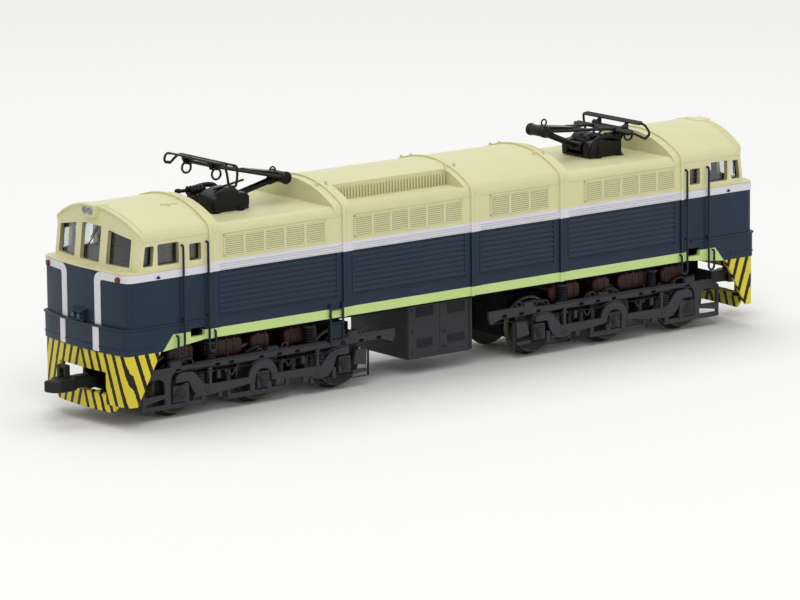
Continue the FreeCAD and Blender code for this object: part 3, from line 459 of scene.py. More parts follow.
# Pilot: masked diagonal stripes in yellow and brown-black enamel, brushed less evenly than the body.
pilotPaint = {"yellow": "#D6C636", "dark": "#1C120C", "period": 2.85, "start": 1.95, "yellowShare": 0.62,
              "lean": 0.33, "frontX": 94.9, "sagitta": 0.0092, "wobble": 0.16, "wobbleSize": 0.8}


def stripedMaterial(name):
    # t = |y| + (frontX - sagitta y^2 - |x|) + lean z, yellow where the share of t in a period is small
    material, tree, output = newMaterial(name)
    p = pilotPaint
    coords, axes = axesOf(tree)
    x, y = distance(tree, axes["X"]), distance(tree, axes["Y"])
    z = math2(tree, "MULTIPLY", axes["Z"], perMetre)
    nose = math2(tree, "MULTIPLY_ADD", math2(tree, "MULTIPLY", y, y), -p["sagitta"], p["frontX"])
    back = math2(tree, "MAXIMUM", math2(tree, "SUBTRACT", nose, x), 0.0)
    shake = noiseOf(tree, coords, p["wobbleSize"], 1.5)
    t = math2(tree, "ADD", math2(tree, "ADD", y, back),
              math2(tree, "MULTIPLY_ADD", z, p["lean"], -p["start"]))
    t = math2(tree, "ADD", t, math2(tree, "MULTIPLY_ADD", shake, p["wobble"] * 2, -p["wobble"]))
    # half a yellow share puts the middle of a stripe at t = 0; ten periods keep the sum above 0
    share = math2(tree, "FRACT", math2(tree, "MULTIPLY_ADD", t, 1 / p["period"], 10 + p["yellowShare"] / 2))
    colour = mixed(tree, math2(tree, "LESS_THAN", share, p["yellowShare"]), p["dark"], p["yellow"])
    finishSurface(tree, output, colour, {**enamelLook, "tone": 0.07, "rough": 0.4})
    return material


# Injection-moulded plastic, matt from its spark-eroded mould, with painted shade darkening its hollows.
mouldedLook = {"patch": 5.0, "speck": 0.12, "tone": 0.06, "fine": 0.04, "shadeStrength": 0.85, "rough": 0.52,
               "roughSpan": 0.06, "relief": 0.012, "shader": {"Specular IOR Level": 0.3}}
# Blackened casting: small highlights that break up where it was handled.
glossyLook = {"patch": 3.0, "speck": 0.2, "tone": 0.1, "fine": 0.03, "shadeStrength": 0.5, "rough": 0.3,
              "roughSpan": 0.09, "relief": 0.01, "shader": {"Specular IOR Level": 0.2}}
# Bare or plated metal: dim reflections, blurred by fine wear.
metalLook = {"patch": 4.0, "speck": 0.1, "tone": 0.06, "fine": 0.05, "shadeStrength": 0.5, "rough": 0.34,
             "roughSpan": 0.08, "relief": 0.004, "shader": {"Metallic": 1.0}}

paintBody = enamelMaterial("satinEnamelBody", True)
paintCab = enamelMaterial("satinEnamelCab", False)
# single coats of the same enamel, on the parts that are one colour: the same sheen without an edge of paint
paintWhite = oneColour("satinEnamelWhite", bodyPaint["white"], enamelLook)
paintBlue = oneColour("satinEnamelBlue", bodyPaint["blue"], enamelLook)
paintCream = oneColour("satinEnamelCream", bodyPaint["cream"], enamelLook)
markerRed = oneColour("redEnamelRing", "#5A2623", enamelLook)
paintPilot = stripedMaterial("stripedEnamelPilot")
# trucks: charcoal plastic, pale where light catches an edge, and made nearly black in the hollows by painted
# shade
mouldedCharcoal = oneColour("mouldedCharcoalPlastic", "#343338", mouldedLook)
# couplers, wheel centres and wipers: black plastic that shows only its soft highlights
mouldedBlack = oneColour("mouldedBlackPlastic", "#141416", mouldedLook)
# chassis and equipment box: plastic a little darker than the trucks
mouldedGrey = oneColour("mouldedGreyPlastic", "#2E2D32", mouldedLook)
# handrails and ladders: wire and thin plastic in dark teal enamel, nearly black against the blue
railPaint = oneColour("darkTealEnamelWire", "#0E1D24", enamelLook)
# motor casings: red-brown plastic, darkened as painted shade and blotched as patches of painted light, the
# one warm tone below the body
casingBrown = oneColour("redBrownPlastic", "#3A1811", {**mouldedLook, "tone": 0.2, "rough": 0.4})
# pantographs: blackened castings and wire with small highlights along the tubes
pantographBlack = oneColour("blackenedCastMetal", "#0A0908", glossyLook)
# wheel treads: nickel plating, its colour darkened as painted shade, still a dull bright rim round the dark
# centre
treadMetal = oneColour("nickelPlatedBrass", "#4A463E", {**metalLook, "rough": 0.42})
# ballast: die-cast zinc, dull grey, hardly seen through the gaps
ballastMetal = oneColour("dieCastZinc", "#5A5A5C", {**metalLook, "rough": 0.55})
# lamp cases: silver paint, brighter than the cream round it
lampSilver = oneColour("silverPaintedPlastic", "#9C9FA0",
                       {**metalLook, "shader": {"Metallic": 0.6}, "rough": 0.3})
# underframe: black plastic, darker and more matt than its own grey as painted shade, so that it drops into
# the shadow
underBlack = oneColour("shadeBlackUnderframePlastic", "#0B0B0D",
                       {**mouldedLook, "rough": 0.75, "shader": {"Specular IOR Level": 0.1}})
# cab inside: near-black plastic, darkened as painted shade so that the windows look dark and deep
darkInside = oneColour("blackInteriorPlastic", "#17171A", {**mouldedLook, "rough": 0.7})


def glassMaterial(name, colour, roughness):
    # clear polystyrene: a polished moulding with an IOR of 1.59, so the windows and lenses catch highlights
    return simpleMaterial(name, {"Base Color": toLinear(colour), "Roughness": roughness, "IOR": 1.59,
                                 "Transmission Weight": 1.0})


clearPlastic = glassMaterial("clearPolystyrene", "#F4F7F7", 0.03)
lensClear = glassMaterial("clearLens", "#F2F2EE", 0.08)
print("materials ready")


view = {"place": (-0.7639135, -0.9876966, 0.2648374), "lens": 240.56, "yaw": 52.4017, "down": 11.2740,
        "roll": -0.5911}


def makeCamera():
    # the view direction is turned by yaw about Z and tipped down, then rolled about itself
    yaw, down, roll = (math.radians(view[k]) for k in ("yaw", "down", "roll"))
    ahead = Vector((math.cos(yaw) * math.cos(down), math.sin(yaw) * math.cos(down), -math.sin(down)))
    level = Vector((math.sin(yaw), -math.cos(yaw), 0))
    above = level.cross(ahead)
    right = math.cos(roll) * level + math.sin(roll) * above
    top = -math.sin(roll) * level + math.cos(roll) * above
    data = bpy.data.cameras.new("camera")
    data.lens = view["lens"]
    data.sensor_width = 36
    data.clip_start, data.clip_end = 0.05, 20
    camera = bpy.data.objects.new("camera", data)
    scene.collection.objects.link(camera)
    turn = Matrix((right, top, -ahead)).transposed().to_4x4()
    camera.matrix_world = Matrix.Translation(Vector(view["place"])) @ turn
    scene.camera = camera


studio = {"floorColour": "#F4F4F2", "floorRoughness": 0.9, "floorSize": 6.0, "worldStrength": 0.53,
          "lampsAimAt": (0, 0, 0.03)}
# name, place and size in metres, and watts; each lamp is aimed at the middle of the locomotive
lampTable = [
    {"name": "key", "place": (-0.55, -0.75, 0.95), "watts": 4.9, "size": 0.7},
    {"name": "fill", "place": (0.9, -0.7, 0.5), "watts": 1.8, "size": 0.8},
    {"name": "top", "place": (0.1, 0.35, 1.1), "watts": 5.2, "size": 0.9},
]


def makeStudio():
    # a pale floor that keeps the shadow, a white surround, and three soft lamps
    half = studio["floorSize"] / 2
    mesh = bpy.data.meshes.new("floor")
    corners = [(-half, -half, 0), (half, -half, 0), (half, half, 0), (-half, half, 0)]
    mesh.from_pydata(corners, [], [(0, 1, 2, 3)])
    floor = bpy.data.objects.new("floor", mesh)
    scene.collection.objects.link(floor)
    paper = {"Base Color": toLinear(studio["floorColour"]), "Roughness": studio["floorRoughness"]}
    floor.data.materials.append(simpleMaterial("floorPaper", paper))
    world = bpy.data.worlds.new("surround")
    scene.world = world
    world.use_nodes = True
    tree = world.node_tree
    tree.nodes.clear()
    rays = addNode(tree, "ShaderNodeLightPath")
    seen = math2(tree, "MAXIMUM", rays.outputs["Is Camera Ray"], rays.outputs["Is Transmission Ray"])
    seen = math2(tree, "MAXIMUM", seen, rays.outputs["Is Glossy Ray"])
    white = {"Color": (1, 1, 1, 1)}
    soft = addNode(tree, "ShaderNodeBackground", {**white, "Strength": studio["worldStrength"]})
    full = addNode(tree, "ShaderNodeBackground", {**white, "Strength": 1.0})
    mix = addNode(tree, "ShaderNodeMixShader", {}, {0: seen, 1: soft.outputs[0], 2: full.outputs[0]})
    addNode(tree, "ShaderNodeOutputWorld", {}, {"Surface": mix.outputs[0]})
    for row in lampTable:
        light = bpy.data.lights.new(row["name"], "AREA")
        light.energy = row["watts"]
        light.size = row["size"]
        lamp = bpy.data.objects.new(row["name"], light)
        scene.collection.objects.link(lamp)
        lamp.location = row["place"]
        aim = Vector(studio["lampsAimAt"]) - lamp.location
        lamp.rotation_euler = aim.to_track_quat("-Z", "Y").to_euler()


scene.view_settings.view_transform = "Standard"
makeCamera()
makeStudio()
print("studio ready")

# Carried-over nodes take the real surface of their slot; those low under the body take the matt black one,
# painted shade in place of their own surface.
surfaceOf = {
    "body_paint": paintBody, "glazing": clearPlastic, "lamp_metal": lampSilver, "pilot_paint": paintPilot,
    "rail_metal": railPaint, "coupler_plastic": mouldedBlack, "chassis_plastic": mouldedGrey,
    "ballast_metal": ballastMetal, "casing_brown": casingBrown, "wheel_metal": treadMetal,
    "truck_plastic": mouldedCharcoal, "pantograph_metal": pantographBlack,
}
shadedNodes = ("chassis_plate", "truck_1_centre", "truck_2_centre", "coupler_box_front", "coupler_box_rear")
for name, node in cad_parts.items():
    for place in node.material_slots:
        place.material = underBlack if name in shadedNodes else surfaceOf[place.material.name]

# body sizes shared by several pieces, in millimetres
body = {"halfWidth": 16.8, "roofTop": 49.8, "ledge": 36.3, "apronTop": 23.6, "apronProud": 0.7,
        "cabSideTop": 43.2, "cabShoulder": 2.6, "noseFront": 94.9, "noseSide": 91.7, "noseCorner": 1.9,
        "cabJoint": 70.5, "joints": (-70.5, -32.5, 5.4, 32.5, 70.5), "ring": 0.9}
wall = body["halfWidth"]
seat = wall - 0.3  # what lies on the body's sides starts here, inside the wall
sections = list(zip(body["joints"], body["joints"][1:]))
ends = (("front", 1), ("rear", -1))

# Both cabs are one cab, worked out at the front and turned half round for the rear.
cab = {"strip": 0.22, "beltLow": 34.1, "beltHigh": 35.9, "uprightMiddle": 6.6, "uprightHalf": 1.05,
       "elbow": 2.3, "screenSetback": 2.4, "screenSideSetback": 1.4, "screenCorner": 3.0, "lean": 1.6,
       "softEdge": 0.16, "wedge": ((-84.1, 17.4), (-72.4, 18.8)), "pocket": ((-76.3, 19.7), (-72.3, 21.7)),
       "gutterHigh": 43.25}


def nosePlan(back=0.0, sideBack=None, corner=None):
    # the cab's outline seen from above, from one joint round the nose to the other: places (x, y)
    sideBack = back if sideBack is None else sideBack
    corner = body["noseCorner"] if corner is None else corner
    arch = archOutline(wall, body["noseSide"] - sideBack, body["noseFront"] - back, corner, 40)
    joint = np.array([[wall, body["cabJoint"]]])
    line = np.vstack([joint, arch, joint * (-1, 1)])
    return np.column_stack([-line[:, 1], line[:, 0]])


def alongNose(s, plan):
    # place and outward direction at a distance s from the middle of a plan line, positive towards +Y
    steps = np.linalg.norm(np.diff(plan, axis=0), axis=1)
    length = np.concatenate([[0], np.cumsum(steps)])
    length = (length[-1] / 2 - length)[::-1]
    line = plan[::-1].T
    x, y = (np.interp(s, length, row) for row in line)
    ahead = [np.interp(np.add(s, 0.05), length, row) - np.interp(np.subtract(s, 0.05), length, row)
             for row in line]
    size = np.hypot(*ahead)
    return np.stack([x, y], -1), np.stack([-ahead[1] / size, ahead[0] / size], -1)


def wrapped(shape, plan):
    # (distance round the nose, distance out, height) laid round the plan line
    places, faces, shade = shape
    foot, out = alongNose(places[:, 0], plan)
    flat = foot + places[:, 1:2] * out
    moved = np.column_stack([flat, places[:, 2]])
    return moved, outward(moved, faces), shade


noseSlices = np.concatenate([np.linspace(-19.5, -14.5, 11), np.linspace(-13.5, 13.5, 19),
                             np.linspace(14.5, 19.5, 11)])
upperPlan, apronPlan = nosePlan(), nosePlan(-body["apronProud"])
planLength = np.linalg.norm(np.diff(upperPlan, axis=0), axis=1).sum() / 2


def noseStrips():
    # white belt from the joint to the nose, an elbow, and an upright down to the pilot
    c = cab
    inner, outer = c["uprightMiddle"] + c["uprightHalf"], c["uprightMiddle"] - c["uprightHalf"]
    low, high, r, foot = c["beltLow"], c["beltHigh"], c["elbow"], body["apronTop"]
    end = planLength - 0.5
    turnOut = arcOf((outer + r, high - r), r, 90, 180, 8)
    turnIn = arcOf((inner + 0.7, low - 0.7), 0.7, 180, 90, 5)
    upper = np.vstack([[(end, high)], turnOut, [(outer, foot), (inner, foot)], turnIn, [(end, low)]])
    lower = np.array([(outer, 17.6), (outer, foot), (inner, foot), (inner, 17.6)])
    shapes = []
    for sign in (1, -1):
        for line, plan in ((upper, upperPlan), (lower, apronPlan)):
            shapes.append(wrapped(cutPlate([line * (sign, 1)], -0.3, c["strip"], slices=noseSlices), plan))
    return bothEnds(joined(shapes))


def planBead(plan, z, radius, reach, proud, tall):
    # a rounded bead round the nose at one height, from -reach to reach
    s = np.linspace(-reach, reach, 90)
    foot, out = alongNose(s, plan)
    rings = []
    for t in np.linspace(0, 2 * np.pi, 10, endpoint=False):
        height = np.full(len(s), z + radius * tall * np.sin(t))
        rings.append(np.column_stack([foot + (proud + radius * np.cos(t)) * out, height]))
    return ringSolid(np.stack(rings, 1))


def noseBeads():
    # a bead at the apron's top edge and one near its foot, run on thinly along the cab's sides
    return bothEnds(joined([planBead(apronPlan, 23.35, 0.42, planLength - 2.2, -0.02, 0.7),
                            planBead(apronPlan, 18.75, 0.3, planLength - 15.0, -0.08, 0.8)]))


def ledgeLip():
    # rounded cream lip at the edge of the ledge under the windscreens
    return bothEnds(planBead(upperPlan, 36.12, 0.24, planLength - 0.6, -0.04, 0.95))


def frontOf(plan, y):
    # how far forward a plan line stands at a distance y from the middle
    half = len(plan) // 2
    side = np.clip(np.abs(y), 0, plan[0, 1] - 1e-3)
    return np.interp(side, plan[half:0:-1, 1], plan[half:0:-1, 0])


screenPlan = nosePlan(cab["screenSetback"], cab["screenSideSetback"], cab["screenCorner"])

# the windscreen wall and its glass, as distances from the middle of the locomotive, bow and thicknesses
screen = {"front": 92.5, "bow": 0.007, "edge": 14.7, "side": 89.5, "thick": 1.0, "glassGap": 0.05,
          "glassThick": 0.45}


def leanAt(z):
    # the windscreen wall moves back as it rises, by lean x share of the height
    return cab["lean"] * (z - body["ledge"]) / (body["roofTop"] - body["ledge"])


def wallPlace(y, z):
    # the windscreen wall's outside falls back by bow y^2, then a quarter ellipse turns it to the side
    c, side = screen, np.minimum(np.abs(y), wall)
    bowed = c["bow"] * side ** 2 - c["front"]
    edge = c["bow"] * c["edge"] ** 2 - c["front"]
    turn = np.clip((side - c["edge"]) / (wall - c["edge"]), 0, 1)
    corner = edge - (c["side"] + edge) * (1 - np.sqrt(1 - turn ** 2))
    return np.where(side > c["edge"], corner, bowed) + leanAt(z)


def setBack(x, y, z):
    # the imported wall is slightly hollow: its outside moves back to the bowed line, its inside follows
    packed, bowed = frontOf(screenPlan, y) + leanAt(z), wallPlace(y, z)
    outside = (z > body["ledge"] - 0.02) & (np.abs(x - packed) < 0.3)
    inside = (z > 34.9) & (np.abs(y) < 15.65) & (x > packed + 0.85) & (x < bowed + screen["thick"])
    return np.where(outside, x + bowed - packed, np.where(inside, bowed + screen["thick"], x))


def setGlassBack(x, y, z):
    # the clear insert lies just behind the bowed wall
    packed, bowed = frontOf(screenPlan, y) + leanAt(z), wallPlace(y, z)
    behind = np.where((x > packed + 1.45) & (np.abs(y) < 15.35), screen["glassThick"], 0.0)
    return np.maximum(x, bowed + screen["thick"] + screen["glassGap"] + behind)


roofArch = archOutline(wall, body["cabSideTop"], body["roofTop"], body["cabShoulder"], 34)


def eyebrowAndGutters():
    # a bead over the windscreens where wall and roof meet, and a thin one along each side above the windows
    front = np.column_stack([wallPlace(*roofArch.T) - 0.02, roofArch[:, 0], roofArch[:, 1] - 0.12])
    brow = tube(front, 0.36, (1, 0, 0.2), 10)
    high, out = cab["gutterHigh"], wall + 0.02
    gutter = rod((front[0, 0] + 0.1, out, high), (-body["cabJoint"] - 0.4, out, high), 0.17, 8, 0.05)
    return bothEnds(joined([brow, bothSides(gutter)]))


def roofHeight(y):
    half = roofArch[:len(roofArch) // 2 + 1]
    return np.interp(np.abs(y), half[::-1, 0], half[::-1, 1])


def meshAhead(node, sign):
    # a copy of a carried-over node's mesh in millimetres, turned so that it lies at the front
    mesh = node.data.copy()
    mesh.transform(Matrix.Scale(perMetre, 4))
    if sign < 0:
        mesh.transform(Matrix.Rotation(math.pi, 4, "Z"))
    return mesh


def softShell(node, sign):
    # the carried-over cab, merged; its lower edge rises to the hood's in a wedge, its windscreen wall is set
    # back to the bowed line, a step pocket is cut through each side, and its edges are rounded
    mesh = meshAhead(node, sign)
    work = bmesh.new()
    work.from_mesh(mesh)
    bmesh.ops.remove_doubles(work, verts=work.verts, dist=1e-3)
    bmesh.ops.dissolve_limit(work, angle_limit=0.01, verts=work.verts, edges=work.edges)
    (x0, z0), (x1, z1) = cab["wedge"]
    sliced(work, (x0, x1), 1e-4)
    bmesh.ops.recalc_face_normals(work, faces=work.faces)
    work.to_mesh(mesh)
    work.free()
    flat = np.empty(len(mesh.vertices) * 3, np.float32)
    mesh.vertices.foreach_get("co", flat)
    x, z = flat[0::3], flat[2::3]
    rise = np.clip(z0 + (x - x0) * (z1 - z0) / (x1 - x0), z0, z1)
    flat[2::3] = np.where((z < z1) & (x > x0), np.maximum(z, rise), z)
    flat[0::3] = setBack(x, flat[1::3], z)
    mesh.vertices.foreach_set("co", flat)
    shell = bpy.data.objects.new("shell", mesh)
    (x0, z0), (x1, z1) = cab["pocket"]
    places, faces, _ = bothSides(block((x0, 14.5, z0), (x1, 18.0, z1), 0.25))
    cutter = bpy.data.meshes.new("cutter")
    cutter.from_pydata(places.tolist(), [], [face.tolist() for group in faces for face in group])
    pocket = bpy.data.objects.new("cutter", cutter)
    for holder in (shell, pocket):
        scene.collection.objects.link(holder)
    cut = shell.modifiers.new("pocket", "BOOLEAN")
    cut.object, cut.operation, cut.solver = pocket, "DIFFERENCE", "EXACT"
    bevel = shell.modifiers.new("softEdge", "BEVEL")
    bevel.width, bevel.segments, bevel.harden_normals = cab["softEdge"], 2, False
    bevel.limit_method, bevel.angle_limit = "ANGLE", math.radians(38)
    finished = bpy.data.meshes.new_from_object(shell.evaluated_get(bpy.context.evaluated_depsgraph_get()))
    for holder, data in ((shell, mesh), (pocket, cutter)):
        bpy.data.objects.remove(holder)
        bpy.data.meshes.remove(data)
    places, faces = cleaned(finished)
    return atEnd((places, faces, np.zeros(len(places))), sign)


# painted shade on the faces inside the cab and in the window openings, and how far inside the skin each
# starts
innerShade = {"inside": 1.42, "skin": 0.8, "reveal": 0.78, "revealSkin": 0.3, "revealLow": 0.6,
              "revealTop": 1.6}


def darkInsideOf(piece, sign):
    # a face is inside where it is behind the front, sides and roof and looks towards the cab's middle; a face
    # of a window opening is behind them too, but less deep; both get painted shade, the inside faces nearly
    # black
    d, mesh = innerShade, piece.data
    centre, normal = (np.empty(len(mesh.polygons) * 3, np.float32) for _ in range(2))
    mesh.polygons.foreach_get("center", centre)
    mesh.polygons.foreach_get("normal", normal)
    x, y, z = (centre.reshape(-1, 3) * perMetre * (sign, sign, 1)).T
    face = np.where(z > body["ledge"] - 1.0, wallPlace(y, z), frontOf(upperPlan, y))
    away = np.column_stack([x + 80, y, z - np.clip(z, 22, 44)])
    side, roof = np.abs(y), roofHeight(y)
    inside = (away * normal.reshape(-1, 3) * (sign, sign, 1)).sum(1) < -0.5
    inside &= (side < wall - d["skin"]) & (z < roof - d["skin"]) & (x > face + d["skin"])
    reveal = (z > body["ledge"] + d["revealLow"]) & (z < roof - d["revealTop"])
    reveal &= (side < wall - d["revealSkin"]) & (x > face + d["revealSkin"])
    shade = np.where(inside, d["inside"], np.where(reveal, d["reveal"], 0.0))
    mesh.attributes.new("recessShade", "FLOAT", "FACE").data.foreach_set("value", shade.astype(np.float32))


def clearInsert(node, sign):
    # the carried-over clear insert, merged, and set back as the wall is
    places, faces = cleaned(meshAhead(node, sign))
    places[:, 0] = setGlassBack(*places.T)
    return atEnd((places, faces, np.zeros(len(places))), sign)


for end, sign in ends:
    glazing, shell = ("cab_%s_%s" % (end, kind) for kind in ("glazing", "shell"))
    addPiece("cab%sGlazing" % end.capitalize(), clearPlastic,
             clearInsert(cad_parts[glazing], sign), [glazing], sharp=30)
    piece = addPiece("cab%sShell" % end.capitalize(), paintCab,
                     softShell(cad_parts[shell], sign), [shell], sharp=32)
    darkInsideOf(piece, sign)
addPiece("noseStrips", paintWhite, noseStrips())
addPiece("noseBeads", paintBlue, noseBeads())
addPiece("cabCreamBeads", paintCream, joined([ledgeLip(), eyebrowAndGutters()]))

interior = {"floorLow": 35.3, "floorHigh": 36.0, "back": -72.2, "seats": (-8.5, 8.5)}


def cabInterior():
    # dark floor, desk, bulkhead and two seats
    back, floor = interior["back"], interior["floorHigh"]
    y = np.linspace(-15.3, 15.3, 25)
    bulkhead = np.vstack([[(15.3, 17.8), (-15.3, 17.8)], np.stack([y, roofHeight(y) - 1.3], 1)])
    parts = [block((-89.0, -15.2, interior["floorLow"]), (back, 15.2, floor), 0.1),
             block((-88.6, -14.6, floor), (-86.2, 14.6, 38.0), 0.3),
             prism(bulkhead, back - 0.5, back, "x", 0.1)]
    for y in interior["seats"]:
        parts += [block((-82.5, y - 2.4, floor), (-78.5, y + 2.4, 38.6), 0.5),
                  block((-79.4, y - 2.4, 38.2), (-78.2, y + 2.4, 42.6), 0.5)]
    return bothEnds(joined(parts))


addPiece("cabInteriors", darkInside, cabInterior())

lamps = {"markerSide": 13.9, "markerHigh": 34.7, "twinHigh": 24.9, "twinSide": 1.2, "roofHigh": 48.7,
         "roofSide": 1.05}


def lampBarrel(place, out, radius, length):
    # a ring with a rounded lip round a domed lens: (distance out, radius)
    end = np.add(place, out)
    ring = turned([(-0.6, radius), (length - 0.12, radius), (length, radius - 0.1), (length, radius * 0.72),
                   (length - 0.16, radius * 0.7), (length - 0.16, 0.02)], place, end, 20)
    lens = turned([(length - 0.2, radius * 0.7), (length - 0.1, radius * 0.66),
                   (length + 0.02, radius * 0.45), (length + 0.08, 0.02)], place, end, 20)
    return ring, lens


def lampPair(spots, radius, length):
    # two lamps side by side: their rings, and their lenses at both ends
    rings, lenses = zip(*(lampBarrel(place, out, radius, length) for place, out in spots))
    return list(rings), bothEnds(joined(lenses))


def markerSpot(side):
    foot, out = alongNose(side * lamps["markerSide"], upperPlan)
    return (*foot, lamps["markerHigh"]), (*out, 0)


def makeLamps():
    # marker lamps at the nose's corners, twin lamps under a sloping visor, and a cased pair in the roof
    x, forward, sides = -body["noseFront"], (-1, 0, 0), (1, -1)
    wallX = float(wallPlace(np.array(0.0), np.array(lamps["roofHigh"])))
    rings, lenses = lampPair([markerSpot(side) for side in sides], 0.72, 0.75)
    addPiece("markerLampRings", markerRed, bothEnds(joined(rings)))
    addPiece("markerLampLenses", lensClear, lenses)
    start = x - body["apronProud"] - 0.1
    rings, lenses = lampPair([((start, side * lamps["twinSide"], lamps["twinHigh"]), forward)
                              for side in sides], 0.95, 0.85)
    visor = [(x + 0.4, 26.75), (x - 1.7, 26.15), (x - 1.7, 25.85), (x + 0.4, 26.2)]
    rings += [prism(visor, -2.6, 2.6, "y", 0.08), block((x - 1.1, -2.3, 23.7), (x + 0.3, 2.3, 26.2), 0.12)]
    addPiece("noseTwinLamps", paintBlue, bothEnds(joined(rings)),
             ["nose_lamps_front", "nose_lamps_rear"])
    addPiece("noseTwinLenses", lensClear, lenses)
    rings, lenses = lampPair([((wallX - 1.3, side * lamps["roofSide"], lamps["roofHigh"]), forward)
                              for side in sides], 0.93, 0.4)
    case = prism(roundedRect((-2.3, 46.95), (2.3, 50.05), 0.6), wallX - 1.35, wallX + 3.2, "x", 0.2)
    addPiece("roofLampCases", lampSilver, bothEnds(joined(rings)),
             ["roof_lamps_front", "roof_lamps_rear"])
    addPiece("roofLampBoxes", paintCream, bothEnds(case))
    addPiece("roofLampLenses", lensClear, lenses)


makeLamps()

wiper = {"foot": (1.1, 40.4), "tip": (-2.3, 44.7), "beside": 0.55}


def wiperRod(first, last, beside, off, radius):
    # a thin rod in front of the windscreen wall, between two shares of the way from foot to tip
    foot, tip = np.array(wiper["foot"]), np.array(wiper["tip"])
    way = (tip - foot) / np.hypot(*(tip - foot))
    aside = np.array([way[1], -way[0]]) * beside
    y, z = (foot + (tip - foot) * np.linspace(first, last, 5)[:, None] + aside).T
    return tube(np.column_stack([wallPlace(y, z) + off, y, z]), radius, (1, 0, 0), 6)


# an arm across the middle windscreen with a blade beside its upper end
wipers = joined([wiperRod(0, 1, 0, 0.25, 0.14), wiperRod(0.35, 1.02, wiper["beside"], 0.3, 0.13)])
addPiece("wipers", mouldedBlack, bothEnds(wipers))

rail = {"places": (-78.5, -71.6), "radius": 0.27, "out": 17.55, "top": 41.3, "loopLow": 15.9,
        "loopWidth": 1.75, "loopTop": 20.3, "pegs": (24.2, 34.0)}


def handrailShapes():
    # each rail hooks into the wall at the top, runs down past the sill and turns up again in a narrow loop
    out, top, loopTop = rail["out"], rail["top"], rail["loopTop"]
    bend = rail["loopWidth"] / 2
    shapes = []
    for x, sign in zip(rail["places"], (-1, 1)):
        far = x + sign * rail["loopWidth"]
        first, last = (180, 360) if sign > 0 else (0, -180)
        turnUp = arcOf((x + sign * bend, rail["loopLow"] + bend), bend, first, last, 10)
        path = [(x, seat, top), (x, wall + 0.4, top), (x, out - 0.1, top - 0.12), (x, out, top - 0.5)]
        path += [(x, out, z) for z in np.linspace(top - 3, rail["loopLow"] + bend + 1, 6)]
        path += [(u, out, z) for u, z in turnUp]
        path += [(far, out, loopTop), (far, out - 0.2, loopTop + 0.25), (far, seat, loopTop + 0.3)]
        shapes.append(tube(path, rail["radius"], (0, 1, 0.001), 8))
        shapes += [rod((x, wall - 0.2, z), (x, out, z), 0.22, 8, 0.04) for z in rail["pegs"]]
    return bothSides(bothEnds(joined(shapes)))


addPiece("handrails", railPaint, handrailShapes(), ["handrails_front", "handrails_rear"])
print("cabs ready")

# Hood sides: belt, grilles, fluted panels, and strips beside the rings.
belt = {"low": 34.45, "high": 36.15, "edge": 0.2, "lip": 0.42, "lipLow": 35.62, "groove": 35.0,
        "lipSetback": 2.2}


def between(profile, recessShade, x0, x1):
    # a profile of (y, z) carried from x0 to x1, with a painted shade amount for each of its places
    rings = [np.column_stack([np.full(len(profile), x), profile]) for x in (x0, x1)]
    return ringSolid(np.stack(rings), np.asarray(recessShade)[None, :])


def beltMoulding():
    # profile across Z: a flat band with a groove, and above it a lip whose top slants back to the wall; the
    # third column is painted shade, darkest under the lip and in the groove
    low, high, groove, lipLow = (belt[name] for name in ("low", "high", "groove", "lipLow"))
    e, r = wall + belt["edge"], wall + belt["lip"]
    band = np.array([(seat, low, 0), (e - 0.07, low, 0.2), (e, low + 0.08, 0), (e, groove - 0.1, 0),
                     (e - 0.12, groove, 0.5), (e, groove + 0.1, 0), (e, lipLow - 0.1, 0),
                     (e - 0.1, lipLow, 0.55), (e, high - 0.2, 0), (wall + 0.02, high, 0), (seat, high, 0)])
    lip = np.array([(wall, lipLow, 0.6), (r - 0.06, lipLow, 0.3), (r, lipLow + 0.08, 0),
                    (wall + 0.05, high + 0.02, 0), (wall, high, 0)])
    shapes = []
    for first, last in sections:
        shapes += [between(band[:, :2], band[:, 2], first + 0.46, last - 0.46),
                   between(lip[:, :2], lip[:, 2], first + belt["lipSetback"], last - 1.4)]
    return bothSides(joined(shapes))


# for each section, how far from its ends the grille and the flutes stop, and how many louvred panels it has
sectionTable = [
    {"grille": (3.7, 5.4), "panels": 5, "flutes": (2.1, 1.9)},
    {"grille": (3.0, 3.0), "panels": 6, "flutes": (2.1, 2.0)},
    {"grille": (5.5, 3.9), "panels": 3, "flutes": (2.0, 2.1)},
    {"grille": (7.2, 2.4), "panels": 5, "flutes": (1.9, 2.1)},
]
grille = {"low": 37.2, "high": 42.25, "frame": 0.32, "mullion": 0.6, "louvres": 9, "proud": 0.24,
          "depth": 0.22}


def louvrePanel(x0, x1):
    # a saw-tooth profile up Z: each louvre leans out to its lower lip, then steps back in to the groove,
    # which painted shade darkens
    g = grille
    low, high = g["low"] + g["frame"], g["high"] - g["frame"]
    pitch = (high - low) / g["louvres"]
    foot = low + np.arange(g["louvres"]) * pitch
    inner, outer = wall + g["proud"] - g["depth"], wall + g["proud"]
    z = np.stack([foot + share * pitch for share in (0, 0.16, 0.22, 0.36, 0.92)], 1).ravel()
    y = np.tile([inner, inner, outer - 0.02, outer, inner + 0.06], g["louvres"])
    deep = np.tile([1.0, 1.0, 0.25, 0.0, 0.06], g["louvres"])
    profile = np.vstack([[(seat, low)], np.stack([y, z], 1), [(seat, high)]])
    return between(profile, np.concatenate([[1.0], deep, [1.0]]), x0, x1)


